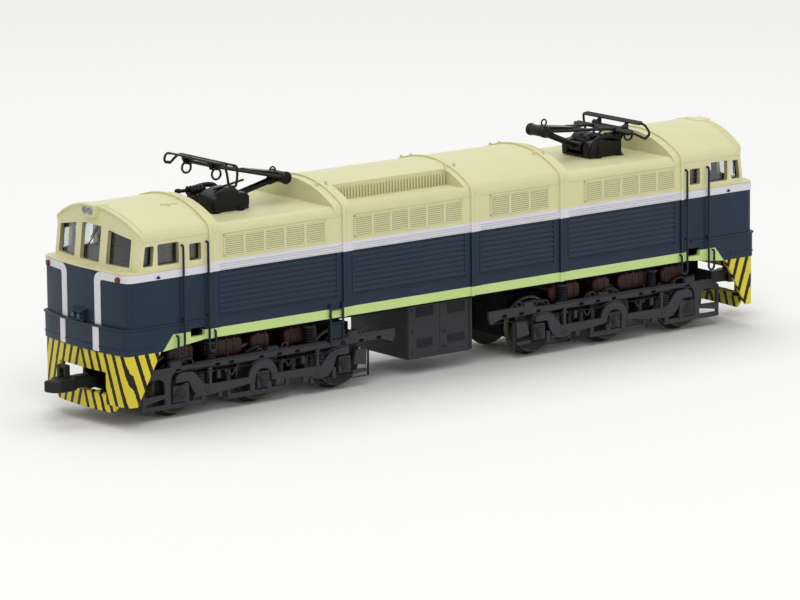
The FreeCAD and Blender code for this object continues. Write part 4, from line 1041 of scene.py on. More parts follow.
def grilleLouvres():
    # louvred panels in a row, with mullions between them and a frame round them
    g = grille
    low, high, outer = g["low"], g["high"], wall + g["proud"]
    shapes = []
    for (start, end), row in zip(sections, sectionTable):
        x0, x1 = start + row["grille"][0], end - row["grille"][1]
        count = row["panels"]
        width = (x1 - x0 - 2 * g["frame"] - (count - 1) * g["mullion"]) / count
        for k in range(count):
            left = x0 + g["frame"] + k * (width + g["mullion"])
            shapes.append(louvrePanel(left, left + width))
            if k:
                shapes.append(block((left - g["mullion"], seat, low + 0.1), (left, outer + 0.03, high - 0.1),
                                    0.06))
        for z in (low, high - g["frame"]):
            shapes.append(block((x0, seat, z), (x1, outer + 0.05, z + g["frame"]), 0.07))
        for x in (x0, x1 - g["frame"]):
            shapes.append(block((x, seat, low), (x + g["frame"], outer + 0.05, high), 0.07))
    return bothSides(joined(shapes))


flutes = {"low": 23.5, "high": 33.9, "count": 8, "proud": 0.32, "valley": 0.1, "frame": 0.5, "land": 0.35}


def flutedPanel(x0, x1):
    # a wave up Z: out = valley + (proud - valley) x |sin| ^ 0.9, with broad crests and thin valleys; painted
    # shade darkens the valleys and the panel's edges
    f = flutes
    low, high = f["low"] + f["land"], f["high"] - f["land"]
    z = np.linspace(low, high, f["count"] * 10 + 1)
    share = np.abs(np.sin(np.pi * f["count"] * (z - low) / (high - low))) ** 0.9
    y = wall + f["valley"] + (f["proud"] - f["valley"]) * share
    face = wall + f["proud"]
    profile = np.vstack([[(seat, f["low"] + 0.1), (face - 0.05, f["low"]), (face, f["low"] + 0.1)],
                         np.stack([y, z], 1),
                         [(face, f["high"] - 0.1), (face - 0.05, f["high"]), (seat, f["high"] - 0.1)]])
    return between(profile, np.concatenate([[1, 0.5, 0], 0.5 * (1 - share), [0, 0.5, 1]]), x0, x1)


def flutedPanels():
    f = flutes
    shapes = []
    for (start, end), row in zip(sections, sectionTable):
        x0, x1 = start + row["flutes"][0], end - row["flutes"][1]
        shapes.append(flutedPanel(x0 + f["frame"], x1 - f["frame"]))
        for x in (x0, x1 - f["frame"]):
            shapes.append(block((x, seat, f["low"]), (x + f["frame"], wall + f["proud"] + 0.08, f["high"]),
                                0.08))
    return bothSides(joined(shapes))


strips = {"width": 1.9, "gap": 0.12, "proud": 0.26, "low": 18.9, "high": 43.6, "beadHeight": 42.75,
          "beadRadius": 0.16}


def sideStrips():
    # an upright strip with a rounded, eyed top beside each ring, and a thin bead under the roof
    s = strips
    face, eye = wall + s["proud"], s["high"] - 0.5
    shapes = []
    for joint in body["joints"][:4]:
        x0 = joint + body["ring"] / 2 + s["gap"]
        x1 = x0 + s["width"]
        middle = (x0 + x1) / 2
        top = arcOf((middle, eye), s["width"] / 2, 0, 180, 7)
        shapes.append(prism(np.vstack([[(x1, s["low"])], top, [(x0, s["low"])]]), wall - 0.2, face, "y",
                            0.07))
        shapes.append(rod((middle, face - 0.05, eye), (middle, face + 0.15, eye), 0.3, 10, 0.05))
    for first, last in sections:
        shapes.append(rod((first + 0.5, wall + 0.02, s["beadHeight"]),
                          (last - 0.5, wall + 0.02, s["beadHeight"]), s["beadRadius"], 8, 0.04))
    return bothSides(joined(shapes))


addPiece("beltMoulding", paintWhite, beltMoulding())
addPiece("grilleLouvres", paintBody, grilleLouvres(), ["grille_panels"], sharp=20)
addPiece("flutedPanels", paintBody, flutedPanels(), ["fluted_panels"], sharp=40)
addPiece("sideStrips", paintBody, sideStrips())
print("hood sides ready")

# Trucks: one truck, worked out round its own middle.
truck = {"middle": 52.9, "spacing": 23.4, "plate": (11.2, 12.0), "proud": 12.6}


def placedTruck(shape, number):
    # truck 1 is ahead of the middle; truck 2 is the same truck turned half round about Z
    sign = 1 if number == 1 else -1
    return changed(shape, (sign, sign, 1), (-truck["middle"] * sign, 0, 0))


# the frame plate: its outer line runs round the chord, the pedestal legs and the tie bars, from the outer
# end inward; everything is (along, height) from the truck's middle
sideFrame = {
    "outer": [(-33.7, 2.6), (-33.7, 10.4), (-31.2, 12.2), (-19.2, 12.2), (18.7, 12.2), (24.4, 12.45),
              (28, 13.05), (38.9, 12.9), (38.75, 11.1), (38.2, 9.7), (31.7, 9.6), (31.1, 9.0), (31.0, 2.6),
              (13.7, 2.6), (13.7, 3.7), (25.0, 3.7), (25.2, 9.0), (24.9, 10.5), (23.0, 10.75), (20.5, 10.5),
              (19.1, 9.95), (18.4, 9.45), (3.1, 9.5)],
    "archMiddle": (0.1, 6.3), "archCut": 4.5, "archOuter": 4.25, "archInner": 2.35,
    "inner": [(-2.9, 9.65), (-18.3, 9.7), (-18.8, 10.35), (-20.1, 11.0), (-22.4, 11.2), (-24.4, 11.0),
              (-25.4, 10.2), (-25.8, 8.9), (-25.8, 3.7), (-16.2, 3.7), (-16.2, 2.6)],
    "openings": [[(-33.0, 6.0), (-33.0, 9.0), (-32.2, 9.7), (-29.0, 9.8), (-27.8, 9.2), (-27.4, 8.0),
                  (-27.4, 6.1)], [(-33.0, 3.7), (-33.0, 4.3), (-27.4, 5.2), (-27.4, 3.7)],
                 [(26.5, 5.9), (27.2, 9.0), (30.3, 9.2), (30.1, 5.4)],
                 [(26.2, 3.7), (26.2, 4.4), (30.2, 4.3), (30.2, 3.7)]],
    "slots": [-23.6, -12.6, -8.6, -0.1, 5.0, 10.2, 23.5, 28.8, 34.0],
    "slotHigh": 11.25, "slotSize": (1.45, 0.66), "rim": (-19.0, 18.6, 12.25, 12.6), "rimProud": 12.45,
    "tie": (-9.9, 7.5, 2.6, 3.75),
    "posts": [(-22.2, -20.8, 3.3, 8.2), (-17.4, -16.2, 3.3, 5.2), (-9.9, -9.2, 3.4, 5.4),
              (-3.6, -2.2, 3.4, 7.0), (1.3, 2.5, 3.4, 5.2), (6.5, 7.5, 3.4, 5.8), (13.7, 14.6, 3.3, 5.2),
              (20.1, 21.2, 3.3, 6.0)],
}
equaliserLeft = [(-24.7, 8.5), (-24.7, 9.4), (-24.4, 10.1), (-23.6, 10.7), (-22.4, 10.85), (-20.0, 10.6),
                 (-19.0, 10.0), (-18.3, 9.1), (-17.4, 7.9), (-16.4, 7.25), (-15.2, 7.05), (-3.5, 7.05),
                 (-3.5, 5.6), (-10.0, 4.9), (-12.5, 4.75), (-16.0, 4.4), (-18.3, 4.6), (-19.8, 5.9),
                 (-20.6, 7.3), (-21.0, 8.3), (-21.6, 8.5)]
equaliserRight = [(3.0, 7.05), (15.3, 7.0), (16.9, 7.0), (18.0, 8.3), (19.1, 9.6), (20.8, 10.25),
                  (22.9, 10.45), (24.5, 10.3), (24.8, 9.4), (24.7, 8.7), (21.3, 8.7), (20.9, 7.9),
                  (20.6, 6.8), (19.9, 5.5), (18.6, 4.2), (16.6, 3.8), (15.0, 4.0), (13.7, 4.8), (7.5, 5.1),
                  (3.0, 5.6)]


def framePlate():
    # the outer line, an arc round the middle axle box, and the openings and slots as holes
    f = sideFrame
    low, high = truck["plate"]
    lean = math.degrees(math.asin((9.6 - f["archMiddle"][1]) / f["archCut"]))
    arch = arcOf(f["archMiddle"], f["archCut"], lean, 180 - lean, 11)
    w, h = f["slotSize"]
    z0, z1 = f["slotHigh"] - h / 2, f["slotHigh"] + h / 2
    slots = [roundedRect((u - w / 2, z0), (u + w / 2, z1), 0.18) for u in f["slots"]]
    return cutPlate([np.vstack([f["outer"], arch, f["inner"]])] + f["openings"] + slots, low, high)


# an axle box's lid, layer by layer: reach, the layer's two faces out from the proud face, and painted shade,
# which darkens the sunken rings
lidLayers = [(1.62, -0.22, -0.1, 1.1), (1.36, -0.2, 0.0, 0.0), (1.14, 0.0, 0.06, 1.1),
             (0.84, 0.0, 0.22, 0.0), (0.6, 0.2, 0.26, 1.1), (0.34, 0.2, 0.4, 0.0)]


def axleBox(u, z, flip):
    # a box with a lid of three rounded triangles, each smaller and further out, and a boss in the middle
    low, high = truck["proud"] - 0.75, truck["proud"]
    parts = [prism(roundedRect((u - 1.75, z - 1.75), (u + 1.75, z + 1.7), 0.35), low - 0.6, high - 0.18, "y",
                   0.1)]
    turn = np.radians(np.arange(0, 360, 20) + 90 * flip)
    for reach, back, front, deep in lidLayers:
        bulge = reach * (1 + 0.17 * np.cos(3 * (turn - np.pi / 2 * flip)))
        outline = np.stack([u + bulge * np.cos(turn), z - 0.05 + bulge * np.sin(turn)], 1)
        # the sunken layers carry painted shade, drawn as dark rings
        parts.append(darkened(prism(outline, high + back, high + front, "y", 0.02), deep))
    parts.append(block((u - 1.9, low - 0.6, z - 2.15), (u + 1.9, high - 0.3, z - 1.75), 0.08))
    return joined(parts)


def coilSpring(u, low, high, y, radius=0.95, turns=4):
    # radius waves out at each turn; painted shade darkens the hollows between turns
    t = np.linspace(0, 1, turns * 6 + 1)
    wave = 0.5 + 0.5 * np.cos(2 * np.pi * turns * t)
    profile = np.stack([t * (high - low), radius * (0.72 + 0.28 * wave)], 1)
    places, faces, _ = turned(profile, (u, y, low), (u, y, high), 10)
    return places, faces, np.repeat(0.85 * (1 - wave), 10)


def bentWire(points, y, radius):
    # a wire bent through points of (along, height) that stands at a distance y
    return tube(smoothed([(u, y, z) for u, z in points], 3), radius, (0, 1, 0), 6)


def sideFrameShape():
    # the plate, equalisers and arch, then springs, hangers, shoes, valves, loops, lugs and hooks on its face
    f = sideFrame
    (low, high), proud = truck["plate"], truck["proud"]
    parts = [framePlate(), cutPlate([equaliserLeft], high - 0.1, proud, ease=0.14),
             cutPlate([equaliserRight], high - 0.1, proud, ease=0.14)]
    ring = np.vstack([arcOf(f["archMiddle"], f["archOuter"], -14, 194, 22),
                      arcOf(f["archMiddle"], f["archInner"], 194, -14, 16)])
    parts.append(cutPlate([ring], high - 0.4, proud - 0.12, ease=0.12))
    x0, x1, z0, z1 = f["tie"]
    parts.append(block((x0, low, z0), (x1, high + 0.05, z1)))
    parts += [block((x0, low + 0.2, z0), (x1, high + 0.25, z1), 0.14) for x0, x1, z0, z1 in f["posts"]]
    # the rim, a strip of painted shade as the shadow line under it, and a sheet of painted shade behind the
    # slots
    x0, x1, z0, z1 = f["rim"]
    parts += [block((x0, low, z0), (x1, f["rimProud"], z1), 0.1),
              darkened(block((x0, high - 0.05, z0 - 0.22), (x1, high + 0.03, z0 + 0.02), 0.03)),
              darkened(block((-26, low - 0.25, 10.4), (37.5, low + 0.05, 12.0), 0.05))]
    parts += [axleBox(u, z, flip) for u, z, flip in ((-23.6, 6.1, 1), (0.1, 6.2, -1), (23.6, 6.5, -1))]
    parts += [coilSpring(u, 7.2, 9.9, high - 0.9, 1.15, 4) for u in (-17.0, 17.6)]
    parts += [coilSpring(u, 7.0, 9.7, high - 1.1, 0.7, 5) for u in (-14.6, -17.4, -9.0, 13.2, 9.6, 6.0, 15.0)]
    for u in (-14.95, 15.75):
        parts += [block((u - 0.38, low, 6.9), (u + 0.38, proud - 0.1, 9.9), 0.1),
                  block((u - 1.0, high - 0.1, 9.8), (u + 1.0, proud - 0.1, 10.1), 0.08),
                  block((u - 0.5, high - 0.1, 10.1), (u + 0.5, proud - 0.05, 10.9), 0.14)]
    for u in (-12.2, 11.9):
        parts += [block((u - 0.45, low, 7.9), (u + 0.45, high, 9.8), 0.1),
                  block((u - 0.55, low + 0.3, 3.7), (u + 0.55, proud, 4.95), 0.14)]
    y = high - 0.6
    for u in (-8.3, 8.0):
        parts += [tube([(u + 1.2 * lean, y, 9.6), (u + 0.15 * lean, y, 8.0)], 0.2, sides=6)
                  for lean in (-1, 1)]
        parts.append(block((u - 1.9, high - 0.9, 8.9), (u - 1.3, high - 0.4, 9.8), 0.1))
    valve = [(0, 0.98), (0.18, 0.98), (0.3, 0.86), (0.3, 0.5), (0.22, 0.42), (0.22, 0.24), (0.42, 0.2),
             (0.45, 0.02)]
    parts += [turned(valve, (u, proud - 0.1, z), (u, proud + 0.5, z), 18)
              for u, z in ((-15.6, 5.9), (15.8, 5.3))]
    parts.append(rod((-24.0, proud - 0.2, 9.3), (-24.0, proud + 0.08, 9.3), 0.36, 10, 0.05))
    y = high - 0.2
    for u0, u1, top in ((-22.8, -19.4, 13.7), (-1.6, 0.6, 13.2), (20.3, 24.4, 13.6)):
        loop = [(u0, 11.9), (u0 + 0.1, top - 0.7), (u0 + 0.7, top - 0.08), ((u0 + u1) / 2, top),
                (u1 - 0.7, top - 0.08), (u1 - 0.1, top - 0.7), (u1 + 0.1, 11.9)]
        parts.append(bentWire(loop, y, 0.19))
    for u0, u1, top in ((-25.9, -22.8, 13.7), (1.5, 4.9, 13.3), (24.9, 27.9, 14.0)):
        parts += [block((u0, low - 0.6, 11.9), (u1, high + 0.1, top), 0.25),
                  block((u0 + 0.35, low - 0.3, top - 0.1), (u0 + 0.7, high - 0.1, top + 0.25), 0.08)]
    hook = [(0, -0.4), (0.2, 0.7), (1.0, 1.3), (1.8, 1.0), (1.7, 0.3), (1.1, 0.2)]
    parts += [bentWire([(u + du, z + dz) for du, dz in hook], y, 0.2) for u, z in ((28.6, 13.0), (5.6, 12.4))]
    parts.append(rod((-9.7, high - 0.1, 11.6), (-9.7, high - 0.1, 13.5), 0.14, 8, 0.05))
    return bothSides(joined(parts))


truckInside = {"motors": [(-24.6, -17.4), (-14.2, -3.6), (-1.0, 4.2), (8.5, 18.0)], "motorHalf": 9.4,
               "motorHigh": (12.2, 16.4), "posts": (-13.4, 14.8)}


def motorShapes():
    # rounded housings with ribs round them, between the wheels and the body
    parts = []
    half, (z0, z1) = truckInside["motorHalf"], truckInside["motorHigh"]
    for u0, u1 in truckInside["motors"]:
        parts.append(prism(roundedRect((u0, z0), (u1, z1), 1.3, 5), -half, half, "y", 0.35))
        for u in np.arange(u0 + 1.8, u1 - 1.2, 2.1):
            rib = roundedRect((u - 0.25, z0 + 0.6), (u + 0.25, z1 + 0.16), 0.2)
            parts.append(prism(rib, -half - 0.15, half + 0.15, "y", 0.1))
    return joined(parts)


def springPosts():
    # ribbed grey posts that reach from the frame to the body
    parts = []
    for u in truckInside["posts"]:
        parts += [coilSpring(u, 12.0, 16.2, 10.2, 1.25, 6),
                  rod((u, 10.2, 15.9), (u, 10.2, 16.6), 1.5, 12, 0.15)]
    return bothSides(joined(parts))


frameShape, motorShape, postShape = sideFrameShape(), motorShapes(), springPosts()
for number in (1, 2):
    name = "truck_%d" % number
    addPiece("truck%dSideFrames" % number, mouldedCharcoal, placedTruck(frameShape, number),
             [name + "_side_frame_left", name + "_side_frame_right"], sharp=30, body=name)
    addPiece("truck%dMotors" % number, casingBrown, placedTruck(motorShape, number),
             [name + "_motor_casing"], sharp=30, body=name)
    addPiece("truck%dSpringPosts" % number, mouldedCharcoal, placedTruck(postShape, number),
             body=name)

wheel = {"face": 10.05, "axle": 7.3}


def wheelFaces():
    # dished dark centre inside the bright rim, with a hub: (distance out, radius) turned about the axle
    profile = [(-0.3, 5.9), (0.0, 5.9), (0.06, 5.75), (0.02, 5.5), (-0.04, 5.2), (0.0, 3.0), (0.12, 2.2),
               (0.4, 1.7), (0.5, 1.4), (0.52, 0.3), (0.5, 0.02)]
    return bothSides(turned(profile, (0, wheel["face"], wheel["axle"]),
                            (0, wheel["face"] + 1, wheel["axle"]), 48))


faceShape = wheelFaces()
for number in (1, 2):
    for axle in (1, 2, 3):
        face = changed(faceShape, shift=(truck["spacing"] * (axle - 2), 0, 0))
        addPiece("truck%dAxle%dFaces" % (number, axle), mouldedBlack,
                 placedTruck(face, number), sharp=30, body="truck_%d_axle_%d" % (number, axle))
print("trucks ready")

# Pilots and couplers.
pilot = {"spread": 0.4, "topSlack": 14.0, "lowSlack": 20.7, "top": 17.5, "low": 5.5, "gapHalf": 9.3,
         "gapTop": 12.9, "thick": 0.8, "behind": 0.55, "bar": [(12.5, 7.5), (12.5, 5.2), (10.8, 3.6)]}


def pilotShape():
    # a skirt round the nose with an opening for the coupler, crossed at its foot by a bar set a little back
    p = pilot
    plan = nosePlan(-p["spread"])
    half = np.linalg.norm(np.diff(plan, axis=0), axis=1).sum() / 2
    side = [(half - p["topSlack"], p["top"]), (half - p["lowSlack"], p["low"]), (p["gapHalf"], p["low"]),
            (p["gapHalf"], p["gapTop"])]
    skirt, foot = (np.vstack([line, np.array(line)[::-1] * (-1, 1)]) for line in (side, p["bar"]))
    rib = block((-12.0, -2.2, 6.6), (12.0, -1.2, 7.4), 0.15)
    shapes = (cutPlate([skirt], -p["thick"], 0.0, slices=noseSlices),
              cutPlate([foot], -p["thick"] - p["behind"], -p["behind"], slices=noseSlices), rib)
    return bothEnds(joined([wrapped(shape, plan) for shape in shapes]))


# places along the coupler are counted back from its tip
coupler = {"tip": -104.9, "pivot": -87.0, "low": 8.05, "high": 10.8, "pinHole": 0.9, "eye": 1.3,
           "head": [(6.9, 2.6), (6.2, 2.9), (3.4, 2.9), (2.4, 1.3), (0.0, 0.6), (0.6, -1.4), (2.0, -2.9),
                    (6.0, -2.9), (6.9, -2.4)], "arm": [(6.5, -1.7), (8.6, -1.25), (15.4, -1.25)],
           "armBack": [(15.4, 1.25), (8.6, 1.25), (6.5, 1.7)]}


def couplerShape():
    # a beaked head, a swan-neck hook over it, and an arm that widens into the eye round the pivot pin
    c = coupler
    t, low, high, middle = c["tip"], c["low"], c["high"], (c["pivot"], 0.0)
    shift = np.array([t, 0.0])
    outline = np.vstack([c["arm"] + shift, arcOf(middle, c["eye"], -75, 75, 9), c["armBack"] + shift])
    return joined([prism(c["head"] + shift, low, high, "z", 0.28),
                   cutPlate([outline, circle(c["pinHole"], 16) + middle], low + 0.15, high - 0.2, "z", 0.12),
                   block((t + 4.8, 1.4, high - 0.2), (t + 6.5, 2.7, 13.7), 0.2),
                   block((t + 5.0, -0.6, 12.8), (t + 6.4, 2.4, 13.75), 0.2),
                   block((t + 5.0, -0.6, high - 0.2), (t + 6.4, 0.35, 13.3), 0.2),
                   block((t + 6.6, -1.0, high - 0.4), (t + 11.5, 1.0, high + 0.25), 0.2)])


addPiece("pilots", paintPilot, pilotShape(), ["pilot_front", "pilot_rear"], sharp=30)
hookShape = couplerShape()
for end, sign in ends:
    addPiece("couplerHead" + end.capitalize(), mouldedBlack, atEnd(hookShape, sign),
             ["coupler_" + end], sharp=30, body="coupler_%s_head" % end)
print("ends ready")

# Equipment box between the trucks, and the ladders beside it.
box = {"half": 9.6, "side": 11.0, "low": 4.2, "high": 17.6, "edge": 0.75, "proud": 0.3, "blades": 5,
       "louvres": [(-7.1, -1.9, 14.2, 16.7), (2.4, 7.5, 14.0, 16.7), (-6.9, -2.2, 6.8, 9.0),
                   (2.3, 7.5, 7.0, 9.0)], "handles": [(0.9, 10.0), (0.9, 6.2)]}


def equipmentBox():
    # a case with a raised upright edge, a door seam, four groups of louvres and two pull handles on each side
    b = box
    half, side, low, high, out = b["half"], b["side"], b["low"], b["high"], b["side"] + b["proud"]
    back = side - 0.2
    parts = [block((x, back, low + 0.3), (x + b["edge"], out, high - 0.1), 0.14)
             for x in (-half, half - b["edge"])]
    parts.append(block((-half + 0.4, back, low + 0.35), (half - 0.4, side + 0.16, low + 0.95), 0.1))
    # the door seam drawn dark, and painted shade in the gaps under the louvre blades
    dark = [block((-0.11, back, low + 1.0), (0.11, side + 0.03, high - 0.3), 0.03)]
    blade = np.array([(side - 0.1, 0.22), (side + 0.22, 0.2), (side + 0.22, 0.28), (side - 0.1, 0.46)])
    for x0, x1, z0, z1 in b["louvres"]:
        for k in range(b["blades"]):
            z = z0 + k * ((z1 - z0) / b["blades"])
            dark.append(block((x0, back, z - 0.02), (x1, side + 0.04, z + 0.28), 0.02))
            parts.append(prism(blade + (0, z), x0, x1, "x", 0.02))
    for x, z in b["handles"]:
        handle = [(x, side - 0.1, z), (x + 0.1, side + 0.45, z), (x + 0.5, side + 0.6, z),
                  (x + 0.9, side + 0.45, z), (x + 1.0, side - 0.1, z)]
        parts.append(tube(smoothed(handle, 3), 0.13, (0, 0, 1), 6))
    x, y = -half + 1.4, side + 0.05
    parts += [rod((x, y, z - 0.35), (x, y, z + 0.35), 0.16, 8, 0.04)
              for z in (low + 1.8, (low + high) / 2, high - 1.6)]
    case = block((-half, -side, low), (half, side, high), 0.3)
    return joined([case, bothSides(joined(parts + [darkened(joined(dark))]))])


ladder = {"near": -36.9, "far": -33.3, "out": 17.25, "half": 0.26, "high": 22.4, "low": 12.5,
          "rungs": (20.9, 17.7)}


def ladderShape():
    # two stiles stood off the wall by pegs, two rungs, and a boxed step at the foot
    near, far, out, half = ladder["near"], ladder["far"], ladder["out"], ladder["half"]
    y0, y1 = out - 0.2, out + 0.2
    parts = []
    for x in (near, far):
        parts.append(block((x - half, y0, ladder["low"]), (x + half, y1, ladder["high"]), 0.1))
        parts += [rod((x, wall - 0.2, z), (x, out, z), 0.2, 8, 0.03) for z in (ladder["high"] - 0.6, 19.4)]
    parts += [rod((near, out, z), (far, out, z), 0.2, 8, 0.03) for z in ladder["rungs"]]
    parts += [block((near + 0.2, y0 - 1.3, 13.9), (far - 0.2, y0 + 0.1, 17.4), 0.1),
              block((near - 0.2, y0 - 1.6, 13.1), (far + 0.2, y1 + 0.05, 13.8), 0.12)]
    return bothSides(joined(parts))


plate = {"reach": 88.0, "high": 18.4, "low": 17.0, "half": 15.55, "foot": 10.2, "hole": 2.6}


def chassisPlate():
    # a floor with a hole for each truck's pin, thinner towards its long edges
    reach, foot, half, low, high = (plate[name] for name in ("reach", "foot", "half", "low", "high"))
    outline = np.array([(-reach, -foot), (reach, -foot), (reach, foot), (-reach, foot)])
    holes = [circle(plate["hole"], 24) + (truck["middle"] * sign, 0) for sign in (1, -1)]
    edge = [(foot - 0.2, high), (half, high), (half, high - 0.3), (foot - 0.2, low + 0.05)]
    return joined([cutPlate([outline] + holes, low, high, "z", 0.05),
                   bothSides(prism(edge, -reach, reach, "x", 0.05))])


addPiece("chassisPlate", underBlack, chassisPlate(), ["chassis_plate"], sharp=30)
addPiece("equipmentCase", mouldedGrey, equipmentBox(), ["equipment_box"], sharp=30)
addPiece("sideLadders", railPaint, ladderShape(), ["side_ladders"], sharp=30)
print("underframe ready")

# Pantographs: worked out over end 1 and turned half round for end 2. The base is the same on both.
panto = {"foot": (-51.5, 47.3), "pin": 0.5, "clear": 0.56, "strip": 1.75, "stripHalf": 0.62, "reach": 10.5,
         "horns": {-1: 4.6, 1: 2.3}}
pantoTable = [{"sign": 1, "knee": (-38.423, 50.223), "head": (-60.652, 55.724), "tilt": 10.0},
              {"sign": -1, "knee": (-39.156, 52.514), "head": (-62.011, 51.076), "tilt": 34.0}]


def at(point, y):
    return (point[0], y, point[1])


def hoop(middle, radius, thick, sides=20):
    # round wire bent to a ring that stands in the X-Z plane
    turn = np.linspace(0, 2 * np.pi, sides, endpoint=False)[:, None]
    wire = circle(thick, 8)
    reach = radius + wire[None, :, 0]
    rings = [middle[0] + reach * np.cos(turn), middle[1] + wire[None, :, 1] + 0 * turn,
             middle[2] + reach * np.sin(turn)]
    return ringSolid(np.stack(rings, -1), wrapRows=True)


def pantoBase():
    # a domed drive case on feet, cheeks for the foot pin, a ringed air drum with its pipe, and a hose
    top = np.vstack([[(-61.3, 45.0), (-53.3, 45.0), (-53.2, 48.3)], arcOf((-55.2, 48.1), 2.0, 8, 88, 6),
                     [(-57.5, 49.95), (-59.4, 49.4), (-61.0, 48.6), (-61.4, 47.8)]])
    flat = [(-61.3, 45.0), (-53.3, 45.0), (-53.2, 48.0), (-54.0, 48.7), (-61.0, 48.7), (-61.4, 48.3)]
    cheek = [(-54.2, 45.0), (-51.2, 45.0), (-50.7, 45.6), (-50.6, 47.6), (-51.3, 48.6), (-54.2, 49.0)]
    parts = [prism(top, -5.2, 1.2, "y", 0.6), prism(flat, 0.8, 5.2, "y", 0.35),
             bothSides(prism(cheek, 2.9, 5.2, "y", 0.35)),
             rod(at(panto["foot"], -3.3), at(panto["foot"], 3.3), panto["pin"], 12)]
    foot = [(0, 1.15), (0.3, 1.2), (0.42, 0.9), (0.5, 0.75), (1.1, 0.7)]
    parts += [bothSides(turned(foot, (x, 5.0, 44.7), (x, 5.0, 46), 14)) for x in (-60.4, -53.6)]
    parts.append(block((-61.2, -5.4, 44.95), (-51.0, 5.4, 45.5), 0.15))
    t = np.linspace(0, 1, 25)
    drum = np.column_stack([t * 4.4, 1.15 - 0.28 * (np.sin(t * np.pi * 5) ** 2)])
    parts.append(turned(np.vstack([[(0, 0.5)], drum, [(4.4, 0.5)]]), (-62.4, 3.0, 49.2), (-58.0, 3.0, 49.2),
                        16))
    hose = smoothed([(-51.4, 5.1, 46.0), (-52.2, 5.0, 47.9), (-53.8, 4.8, 49.3), (-56.0, 4.7, 49.7),
                     (-58.6, 4.7, 49.5), (-60.8, 4.7, 48.9)], 5)
    parts += [rod((-65.6, 3.0, 49.4), (-62.0, 3.0, 49.3), 0.42, 10, 0.1),
              rod((-65.8, 3.0, 49.4), (-64.7, 3.0, 49.4), 0.62, 10, 0.1), tube(hose, 0.62, (0, 1, 0), 10)]
    return joined(parts)


def hub(spot, half, radius, sides=18):
    # a rounded tube with a hole for its pin: the last ring is joined to the first
    profile = [(0, panto["clear"]), (0, radius - 0.12), (0.12, radius), (2 * half - 0.12, radius),
               (2 * half, radius - 0.12), (2 * half, panto["clear"])]
    places, _, shade = turned(profile, at(spot, -half), at(spot, half), sides)
    return places, outward(places, [gridFaces(len(profile), sides, True, True)]), shade


def lowerArmShape(row):
    # one tube between two hubs, thicker where it enters the knee
    foot, knee = np.array(panto["foot"]), np.array(row["knee"])
    way = (knee - foot) / np.linalg.norm(knee - foot)
    return joined([rod(at(foot + way * 1.0, 0), at(knee - way * 1.0, 0), 0.78, 12),
                   rod(at(knee - way * 3.4, 0), at(knee - way * 0.9, 0), 1.0, 12, 0.2), hub(foot, 2.2, 1.15),
                   hub(knee, 1.9, 1.35)])


def upperArmShape(row):
    # two tubes that spread from the knee's ears to the cross tube, with a trough, braces and a lifting ring
    knee, head = np.array(row["knee"]), np.array(row["head"])
    way = (head - knee) / np.linalg.norm(head - knee)
    spots = [np.array(at(knee + share * (head - knee), 2.5 + share * 1.8)) for share in (0, 0.18, 0.55, 1.0)]
    over = (1, -1, 1)
    trough = [knee + way * along + (0, up) for along, up in ((1.7, 0.1), (10, 0.1), (10, 0.6), (1.7, 1.15))]
    return joined([rod(at(knee, -3.0), at(knee, 3.0), panto["pin"], 12),
                   rod(at(head, -5.9), at(head, 5.9), 0.42, 12), bothSides(rod(spots[0], spots[3], 0.4, 10)),
                   bothSides(rod(at(knee, 2.0), at(knee, 3.2), 1.5, 18, 0.3)),
                   prism(trough, -1.9, 1.9, "y", 0.15), rod(spots[1] * over, spots[1], 0.32, 8),
                   rod(spots[2] * over, spots[2], 0.32, 8), rod(spots[1] * over, spots[2], 0.22, 8, 0.04),
                   hoop((knee[0] - 1.9, 0.0, knee[1] + 1.75), 0.75, 0.2)])


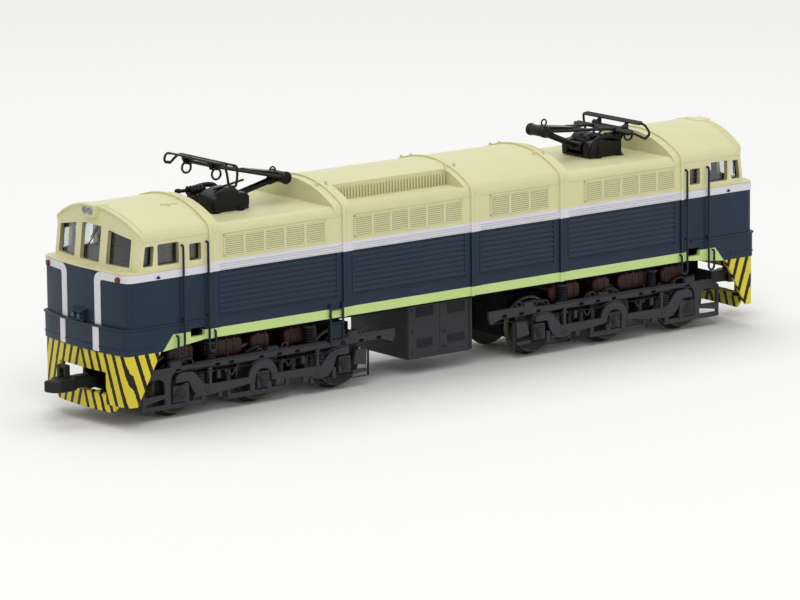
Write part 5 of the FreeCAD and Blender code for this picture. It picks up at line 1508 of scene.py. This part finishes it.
def headShape(row):
    # two flat wear strips, horns that bend down and meet in a bottom bar, end plates and hanging rings
    p = panto
    x, z = row["head"]
    parts = []
    for side in (-1, 1):
        near = x + side * p["strip"]
        parts.append(block((near - p["stripHalf"], -p["reach"], z + 0.85),
                           (near + p["stripHalf"], p["reach"], z + 1.3), 0.1))
        for hand, drop in p["horns"].items():
            low = z + 1.0 - drop
            horn = smoothed([(near, p["reach"] - 0.4, z + 1.0), (near, p["reach"] + 0.9, z + 0.8),
                             (near - side * 0.3, 12.4, low + 0.55 * drop),
                             (near - side * 0.7, 12.9, low + 0.4), (x + side * 0.6, 12.9, low)], 4)
            parts.append(tube(horn * (1, hand, 1), 0.3, (1, 0, 0), 8))
    for hand, drop in p["horns"].items():
        low = z + 1.0 - drop
        parts.append(rod((x - 0.9, 12.9 * hand, low), (x + 0.9, 12.9 * hand, low), 0.36, 8))
    endPlate = np.array([(x - 2.1, z + 0.9), (x + 2.1, z + 0.9), (x + 1.0, z - 0.8), (x - 1.0, z - 0.8)])
    parts += [bothSides(cutPlate([endPlate, circle(0.5, 14) + (x, z)], 4.8, 5.4, "y", 0.1)),
              bothSides(hoop((x + 0.3, 5.9, z - 1.6), 1.25, 0.27)),
              bothSides(block((x - 0.5, 5.5, z + 0.0), (x + 0.5, 6.3, z + 1.0), 0.1)),
              rod((x + 1.0, -8.6, z + 0.65), (x + 1.0, 8.6, z + 0.65), 0.26, 8)]
    return swung(joined(parts), "Y", row["tilt"], (x, 0, z))


baseShape = pantoBase()
pullRod = tube([(-59.2, -2.6, 49.9), (-50.6, -2.6, 51.2)], 0.28, (0, 1, 0), 8)
for number, row in enumerate(pantoTable, 1):
    shapes = {"base": baseShape, "lower_arm": lowerArmShape(row), "upper_arm": upperArmShape(row),
              "head": headShape(row)}
    if number == 1:
        shapes["base"] = joined([baseShape, pullRod])
    for part, shape in shapes.items():
        node = "pantograph_%d_%s" % (number, part)
        addPiece("pantograph%d%s" % (number, part.title().replace("_", "")),
                 pantographBlack, atEnd(shape, row["sign"]), [node], sharp=30,
                 body="locomotive_body" if part == "base" else node)
print("pantographs ready")

# Small fittings on the cabs.
fitting = {"bar": ((-77.1, 6.9), (-72.9, 7.5)), "knob": (-75.5, 7.85), "hook": (-85.2, 34.4, 35.3),
           "strip": (1.15, 15.6)}


def roofFittings():
    # a short bar and a knob on each cab's roof, and a thin strip across it behind its front edge
    bar = tube([(x, y, roofHeight(y) + 0.1) for x, y in fitting["bar"]], 0.2, (0, 0, 1), 8)
    x, y = fitting["knob"]
    knob = rod((x, y, roofHeight(y) - 0.1), (x, y, roofHeight(y) + 0.4), 0.28, 10)
    back, reach = fitting["strip"]
    across = np.linspace(-reach, reach, 41)
    high = roofHeight(across)
    strip = tube(np.column_stack([wallPlace(across, high) + back, across, high + 0.03]), 0.16, (1, 0, 0), 6)
    return bothEnds(joined([changed(joined([bar, knob]), (1, -1, 1)), strip]))


def beltHooks():
    # a small eye on the white belt beside the nose
    x, z0, z1 = fitting["hook"]
    middle = (z0 + z1) / 2
    return bothEnds(bothSides(joined([rod((x, wall - 0.2, middle), (x, wall + 0.5, middle), 0.22, 8, 0.05),
                                      block((x - 0.45, wall + 0.2, z0), (x + 0.45, wall + 0.55, z0 + 0.45),
                                            0.1)])))


addPiece("roofBars", paintCream, roofFittings(), sharp=30)
addPiece("beltHooks", railPaint, beltHooks(), sharp=30)
print("fittings ready")
